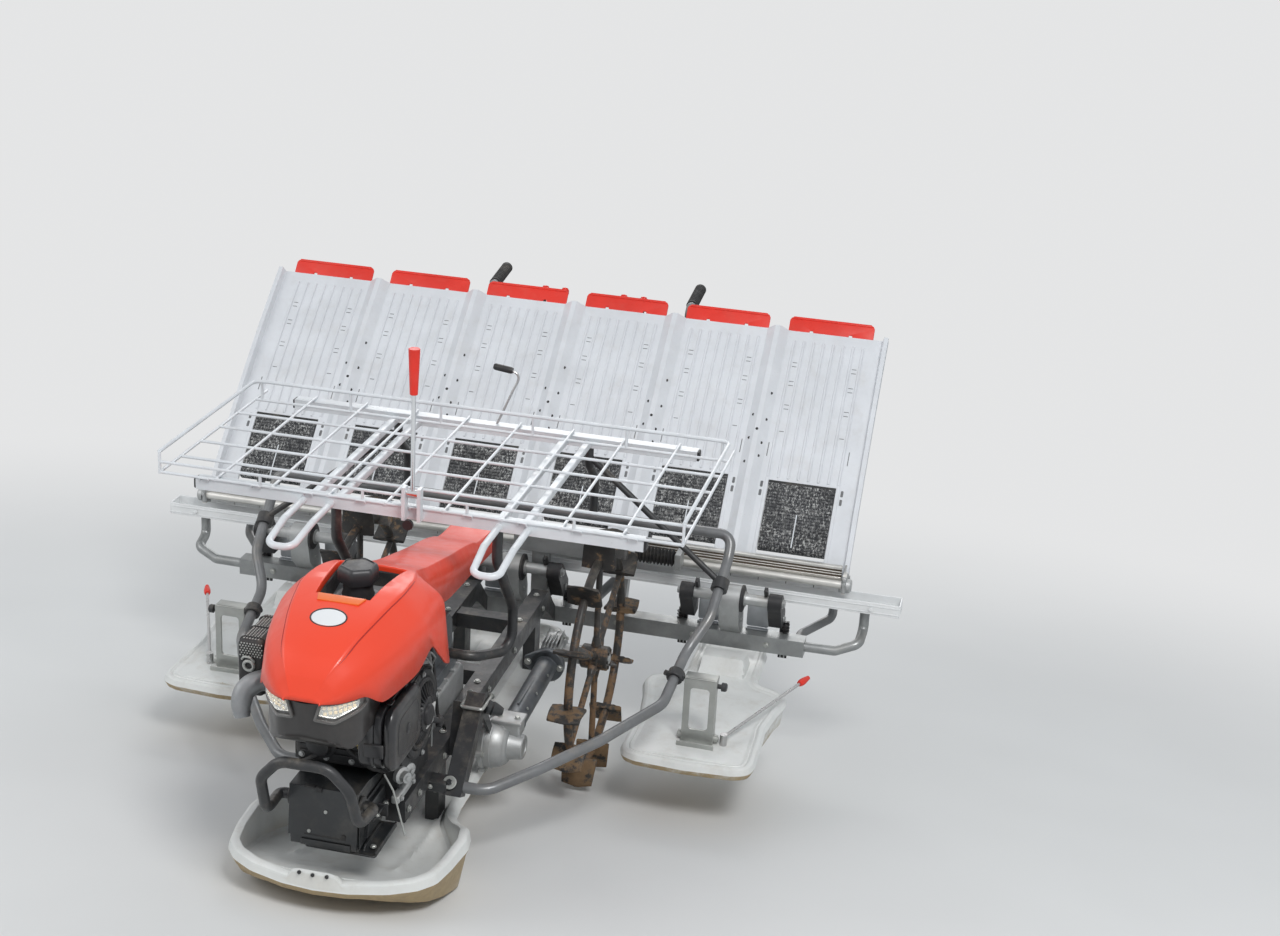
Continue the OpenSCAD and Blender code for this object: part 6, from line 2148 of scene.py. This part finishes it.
@dataclass
class Fittings(Section):
    """Small fittings on the rails, rack, planting gear, handles and panel."""

    rail_half: float = 1038.0
    rail_front: float = 407.0

    def rail(self) -> tuple[Shape, Shape, Shape]:
        """Lines, bolts and end caps of the long rails.

        Returns:
            The pale parts that stay, the parts that slide with the platform, and thin dark strips of painted
            shade in the grooves that slide.
        """
        h, f = self.rail_half, self.rail_front
        lines = [block((1 - h, f - 1.4, z), (h - 1, f + 1, z + 2.4), 0.6, 1) for z in (234, 252)]
        ends = [block((x, f, 228.5), (x + 4, 469, 261.8), 0.8) for x in (-h, h - 4)]
        studs = bolts([(x, f - 1, 243) for x in np.arange(-960, 961, 240)], AHEAD, 6)
        caps = []
        foot = [(0, 0), (19, 0), (19, 10), (14, 14), (0, 14)]
        for s in (-1, 1):
            x = s * 910 + FEED_OFFSET
            caps += [block((x - 7, 413, 272), (x + 7, 459, 318), 5),
                     lathe(foot, (x + s * 6, 428, 292), (s, 0, 0), 28),
                     block((x - 16, 440, 263.4), (x + 10, 470, 280), 3),
                     bolt((x + s * 7, 450, 306), (s, 0, 0), 7), bolt((x, 412, 300), AHEAD, 6),
                     tube([(x - s * 3, 434, 314), (x - s * 3, 452, 326), (x - s * 3, 470, 330)], 3, 8, 8)]
        # Painted shade: thin dark strips along the grooves.
        grooves = [block((-914 + FEED_OFFSET, y, 299.6), (914 + FEED_OFFSET, y + 1.8, 300.6), 0.3, 1)
                   for y in (447.6, 452.6)]
        grooves.append(block((-912 + FEED_OFFSET, 445.2, 283), (912 + FEED_OFFSET, 446.4, 285.4), 0.3, 1))
        return Shape.join([*lines, *ends, studs]), Shape.join(caps), Shape.join(grooves)

    def rack(self) -> tuple[Shape, Shape, Shape]:
        """End caps, clips and spans on the rack's channels, and the black-gripped wire lever above it.

        Returns:
            The black parts, the white parts and the lever's wire.
        """
        caps = [block((s * 526 - 4, y + 2, 717), (s * 526 + 4, y + 28, 741), 3) for s in (-1, 1)
                for y in (-500, 84)]
        spans = Shape.join([block((x - 8.6, -469, 719.4), (x + 8.6, 83, 737), 3) for x in (190, 250)]).both()
        hub = disc(12, 8, (-4, -527, 716), AHEAD, 24)
        grip = lathe([(0, 0), (7, 1), (8.5, 6), (8.5, 47), (6, 51), (0, 52)], (42, 118, 880), (-1, 0, 0.12),
                     24)
        line = spline([(6, 100, 735), (42, 113, 826), (55, 118, 858), (51, 118, 874), (34, 118, 881)])
        lever = sweep(line, circle(3.2, 10))
        keep = tube([(-10, -503, 740), (-10, -508, 748), (10, -508, 748), (10, -503, 740)], 2, 4, 8)
        keeps = [keep.moved((x, 0, 0)) for x in np.linspace(-500, 500, 9)]
        return Shape.join([*caps, hub, grip]), Shape.join([*keeps, spans]), lever

    def planting(self) -> tuple[Shape, Shape, Shape]:
        """Forks, links and bolts of the six planting arms, and bosses on the cases.

        Returns:
            The bright parts, the dark parts and the grey guard sheets.
        """
        bright, dark, sheets = [], [], []
        for x in (600, 0, -600):
            for s in (-1, 1):
                tip = x + s * 138
                bright += [tube([(tip + k, 394, 178), (tip + k, 397, 120), (tip + k, 392, 71)], 1.8, 20, 8)
                           for k in (-5, 5)]
                bright += [bolt((x + s * 136.4, 318, 262), (s, 0, 0), 11),
                           bolt((x + s * 136.4, 372, 196), (s, 0, 0), 8)]
                bright.append(lathe([(15, 0), (20, 0), (20, 10), (15, 10), (15, 0)], (x + s * 30, 318, 262),
                                    (s, 0, 0), 28))
                across = sorted((x + s * 88, x + s * 96))
                dark.append(side_plate([(300, 300), (316, 304), (352, 250), (344, 238)], *across, 2))
                dark.append(coil((x + s * 144, 380, 178), (x + s * 144, 388, 120), 8, 1.6, 6))
            spots = ((340, 190), (300, 240), (350, 270))
            bright += [bolt((x + s * 27.5, y, z), (s, 0, 0), 6) for s in (-1, 1) for y, z in spots]
            dark.append(lathe([(0, 0), (36, 0), (36, 6), (30, 9), (0, 9)], (x + 27, 318, 262), X, 32))
            sheets += [plate(round_rect((x + s * 66, 201), (30, 46), 6), 386, 388.5, 0.8, (0, 2, 1))
                       for s in (-1, 1)]
            sheets += [block((x + s * 66 - 30, 372, 151), (x + s * 66 + 30, 388, 154), 1) for s in (-1, 1)]
        return Shape.join(bright), Shape.join(dark), Shape.join(sheets)

    def rear(self) -> tuple[Shape, Shape, Shape]:
        """Ribbed hand grips, knobs on the panel's levers, and the panel's rim and lever gates.

        Returns:
            The grips, the dark parts and the red knobs.
        """
        slope = math.radians(8)
        back = np.array([0, math.cos(slope), math.sin(slope)])
        root = np.array([300, 1215, 830]) - 130 * back
        rings = [(0, 0), (16, 0), (17, 2)]
        for k in range(11):
            rings += [(16.9, 8 + 10 * k), (15.6, 10 + 10 * k), (15.6, 13 + 10 * k), (16.9, 15 + 10 * k)]
        rings += [(17, 127), (15, 129.6), (0, 129.8)]
        grips = lathe(rings, tuple(root), tuple(back), 32).both()
        rim = sweep(np.insert(round_rect((0, 1055), (196, 51), 12), 2, 700, 1), circle(4, 8), closed=True)
        plates = [block((x - 16, 1040, 699), (x + 16, 1104, 702.5), 1.2) for x in (-150, -90, 90, 150)]
        knobs = [lathe([(0, 0), (8, 2), (12, 10), (12, 20), (8, 27), (0, 29)], (x, 1106, 789),
                       (0, 0.33, 0.94), 24) for x in (-150, -90, 90, 150)]
        return grips, Shape.join([rim, *plates]), Shape.join(knobs)

    def frame_bolts(self) -> Shape:
        """Bolts along the beams and the gearcase."""
        beams = [(s * 96, y, 231) for s in (-1, 1) for y in (-700, -560, -300, -120, 60, 220)]
        flank = bolts([(119, y, 205) for y in (-860, -790, -620, -280, -60, 200)], X, 7).both()
        case = bolts([(x, -546, z) for x in (-60, 60) for z in (200, 260, 320, 380)], AHEAD, 7)
        bar = bolts([(x, 339, 128) for x in (-700, -500, -290, -100, 100, 290, 500, 700)], AHEAD, 7)
        return Shape.join([bolts(beams, Z, 7), flank, case, bar])

    def build(self) -> None:
        """Makes all fittings."""
        pale, caps, grooves = self.rail()
        self.show(pale, "rail_lines", Paint.RAIL)
        self.show(caps, "rail_caps", Paint.CASE, ride="platform")
        self.show(grooves, "rail_grooves", Paint.GROOVE, ride="platform")
        black, wire, lever = self.rack()
        self.show(lever, "rack_lever", Paint.ROD)
        self.show(black, "rack_caps", Paint.COVER)
        self.show(wire, "rack_wires", Paint.RACK)
        bright, dark, sheets = self.planting()
        self.show(sheets, "planting_sheets", Paint.SHEET)
        self.show(bright, "planting_forks", Paint.CASE)
        self.show(dark, "planting_links", Paint.COVER)
        grips, panel, knobs = self.rear()
        self.show(grips, "grip_sleeves", Paint.GRIP, "hand_grips")
        self.show(panel, "panel_fittings", Paint.COVER)
        self.show(knobs, "lever_knobs", Paint.EDGING)
        self.show(self.frame_bolts(), "frame_bolts", Paint.GALV)
        for side, word in ((1, "left"), (-1, "right")):
            a, b = np.array([side * 676, -128, 92.0]), np.array([side * 832, 196, 120.0])
            tip = [(0, 0), (7, 1), (9, 8), (9, 20), (5.5, 42), (0, 43)]
            tip = lathe(tip, tuple(b - unit(b - a) * 36), tuple(b - a), 20)
            self.show(tip, f"marker_tip_{word}", Paint.EDGING, ride=f"marker_arm_{word}")


# The CAD nodes that stay


@dataclass
class CadDress:
    """Gives each CAD node that stays its finish and softened edges."""

    finishes: dict[Paint, str] = field(default_factory=lambda: {
        Paint.FLOAT: "centre_float side_float_left side_float_right",
        Paint.FRAME: "main_frame engine_box front_guard frame_struts rack_supports",
        Paint.ENGINE: "engine",
        Paint.COVER: "recoil_starter air_cleaner lamp_mask fuel_cap planting_arms control_panel",
        Paint.SHIELD: "muffler",
        Paint.DUCT: "cooling_duct",
        Paint.BONNET: "bonnet",
        Paint.LENS: "headlamps",
        Paint.CASE: "transmission axle_case_left axle_case_right planting_cases feed_gearbox",
        Paint.TUBE: "float_brackets side_guards rear_guide handlebars",
        Paint.RACK: "rack_channels rack_basket",
        Paint.BEAM: "planting_beam",
        Paint.RAIL: "slide_rail",
        Paint.BOOT: "feed_boot",
        Paint.GRIP: "hand_grips",
        Paint.PLATFORM: "seedling_platform",
        Paint.METAL: "platform_rail",
        Paint.BELT: "feed_belts",
        Paint.EDGING: "top_edging pole_grip",
        Paint.CHROME: "centre_pole",
        Paint.ROD: "marker_left marker_right",
        Paint.WHEEL: "wheel_left wheel_right",
        Paint.LUG: "lugs_left lugs_right"})
    edge: float = 0.0016
    edge_limit: float = 34.0

    @property
    def paints(self) -> dict[str, Paint]:
        """The finish of each CAD node."""
        return {name: paint for paint, names in self.finishes.items() for name in names.split()}

    def soften(self, node: bpy.types.Object, name: str, paint: Paint) -> None:
        """Copies a node, merges its loose triangles, joins flat neighbours and rounds the sharp edges.

        Args:
            node: the CAD node.
            name: its name.
            paint: its finish.
        """
        work = bmesh.new()
        work.from_mesh(node.data)
        bmesh.ops.remove_doubles(work, verts=work.verts, dist=CAD_MERGE_M)
        flat = math.radians(FLAT_DEGREES)
        bmesh.ops.dissolve_limit(work, angle_limit=flat, verts=work.verts, edges=work.edges)
        mesh = bpy.data.meshes.new(name + "_piece")
        work.to_mesh(mesh)
        work.free()
        shade(mesh, self.edge_limit)
        piece = linked(name + "_piece", mesh)
        bevel = piece.modifiers.new("edge", "BEVEL")
        bevel.width = self.edge
        bevel.segments = 2
        bevel.limit_method = "ANGLE"
        bevel.angle_limit = math.radians(self.edge_limit)
        bevel.harden_normals = True
        mesh.materials.append(paint.value.material())
        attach(piece, node["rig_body"])
        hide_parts(name)

    def apply(self, nodes: dict[str, bpy.types.Object]) -> None:
        """Puts a softened piece in the place of every node that still shows.

        Args:
            nodes: the CAD nodes by name.
        """
        paints = self.paints
        for name, obj in nodes.items():
            obj.data.materials.clear()
            obj.data.materials.append(paints[name].value.material())
            if not obj.hide_render:
                self.soften(obj, name, paints[name])
        LOG.info("softened CAD nodes: %d", sum(1 for n in nodes.values() if n.hide_render))


# Studio


@dataclass
class Studio:
    """Floor, light and camera.

    The camera is fitted to the photograph in machine millimetres. A lamp has a name, a place and a size
    in metres, and a power in watts.
    """

    azimuth: float = 11.854
    pitch: float = 21.034
    roll: float = 3.3
    focal_px: float = 1960.1
    spot: Triple = (1312.0, -4338.0, 2419.0)
    width_px: float = 1280.0
    backdrop: tuple[float, float, float, float] = (0.78, 0.785, 0.79, 1.0)
    sky: tuple[float, float, float, float] = (0.86, 0.93, 1.0, 1.0)
    sky_power: float = 0.42
    floor_m: float = 40.0
    floor_tones: tuple[Triple, Triple] = ((0.7, 0.7, 0.69), (0.74, 0.74, 0.73))
    fade_m: Pair = (1.7, 4.6)
    clip_m: float = 200.0
    lamps: tuple[tuple[str, Triple, float, float], ...] = (
        ("key", (2.6, -4.2, 4.6), 1.8, 195.0),
        ("fill", (-4.2, -2.6, 3.2), 3.2, 70.0),
        ("rim", (-0.5, 4.6, 4.2), 3.4, 100.0))

    def camera(self, stance: Stance) -> None:
        """Sets the camera from its turn and place; the lens is focal_px over width_px times the sensor.

        Args:
            stance: where the machine stands.
        """
        az, p, r = map(math.radians, (self.azimuth, self.pitch, self.roll))
        ahead = np.array([-math.sin(az) * math.cos(p), math.cos(az) * math.cos(p), -math.sin(p)])
        level = np.array([math.cos(az), math.sin(az), 0.0])
        up = np.cross(level, ahead)
        right = math.cos(r) * level + math.sin(r) * up
        above = -math.sin(r) * level + math.cos(r) * up
        turn = stance.matrix @ np.stack([right, above, -ahead], 1)
        data = bpy.data.cameras.new("camera")
        data.sensor_width = SENSOR_MM
        data.lens = self.focal_px / self.width_px * SENSOR_MM
        cam = linked("camera", data)
        matrix = Matrix(turn.tolist()).to_4x4()
        matrix.translation = stance.place(np.array(self.spot))
        cam.matrix_world = matrix
        data.clip_end = self.clip_m
        bpy.context.scene.camera = cam

    def floor(self) -> None:
        """A wide pale floor with a slow unevenness of tone."""
        size = self.floor_m
        mesh = bpy.data.meshes.new("floor")
        mesh.from_pydata([(-size, -size, 0), (size, -size, 0), (size, size, 0), (-size, size, 0)], [],
                         [(0, 1, 2, 3)])
        obj = linked("floor", mesh)
        web = Web(bpy.data.materials.new("floor_paint"))
        tone = web.mix(web.ramp(web.noise(0.7, 3), 0.3, 0.7), *map(rgba, self.floor_tones))
        shader = web.add("ShaderNodeBsdfPrincipled", Base_Color=tone, Roughness=0.9)
        far = web.add("ShaderNodeVectorMath", {"operation": "LENGTH"}, i0=web.coords).outputs["Value"]
        path = web.add("ShaderNodeLightPath").outputs["Is Camera Ray"]
        glow = web.add("ShaderNodeEmission", Color=self.backdrop, Strength=1.0)
        fade = web.times(web.ramp(far, *self.fade_m), path)
        blend = web.add("ShaderNodeMixShader", i0=fade, i1=shader.outputs[0], i2=glow.outputs[0])
        web.add("ShaderNodeOutputMaterial", Surface=blend.outputs[0])
        mesh.materials.append(web.owner)

    def lights(self) -> None:
        """A soft key from the front left, a fill, a rim, and a sky that camera and gloss rays see paler."""
        for name, spot, size, power in self.lamps:
            data = bpy.data.lights.new(name, "AREA")
            data.size, data.energy = size, power
            lamp = linked(name, data)
            aim = (-Vector(spot)).to_track_quat("-Z", "Y").to_matrix().to_4x4()
            lamp.matrix_world = Matrix.Translation(spot) @ aim
        web = Web(bpy.data.worlds.new("studio"))
        bpy.context.scene.world = web.owner
        ray = web.add("ShaderNodeLightPath").outputs
        seen = web.math("MAXIMUM", ray["Is Camera Ray"], ray["Is Transmission Ray"])
        seen = web.math("MAXIMUM", seen, ray["Is Glossy Ray"])
        soft = web.add("ShaderNodeBackground", i0=self.sky, i1=self.sky_power).outputs[0]
        pale = web.add("ShaderNodeBackground", i0=self.backdrop, i1=1.0).outputs[0]
        blend = web.add("ShaderNodeMixShader", i0=seen, i1=soft, i2=pale).outputs[0]
        web.add("ShaderNodeOutputWorld", i0=blend)

    def build(self, stance: Stance) -> None:
        """Sets camera, floor, lights and the plain view transform.

        Args:
            stance: where the machine stands.
        """
        self.camera(stance)
        self.floor()
        self.lights()
        bpy.context.scene.view_settings.view_transform = "Standard"


def main() -> None:
    """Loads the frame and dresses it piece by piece."""
    logging.basicConfig(level=logging.INFO, format="%(message)s")
    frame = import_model()
    stance = Stance.from_frame(frame)
    Studio().build(stance)
    for part in (Floats, Bonnet, Mask, Platform, Wheel, FrontBox, EngineBay, Running, Fittings):
        part(stance).build()
    CadDress().apply(frame["nodes"])


if __name__ == "__main__":
    main()
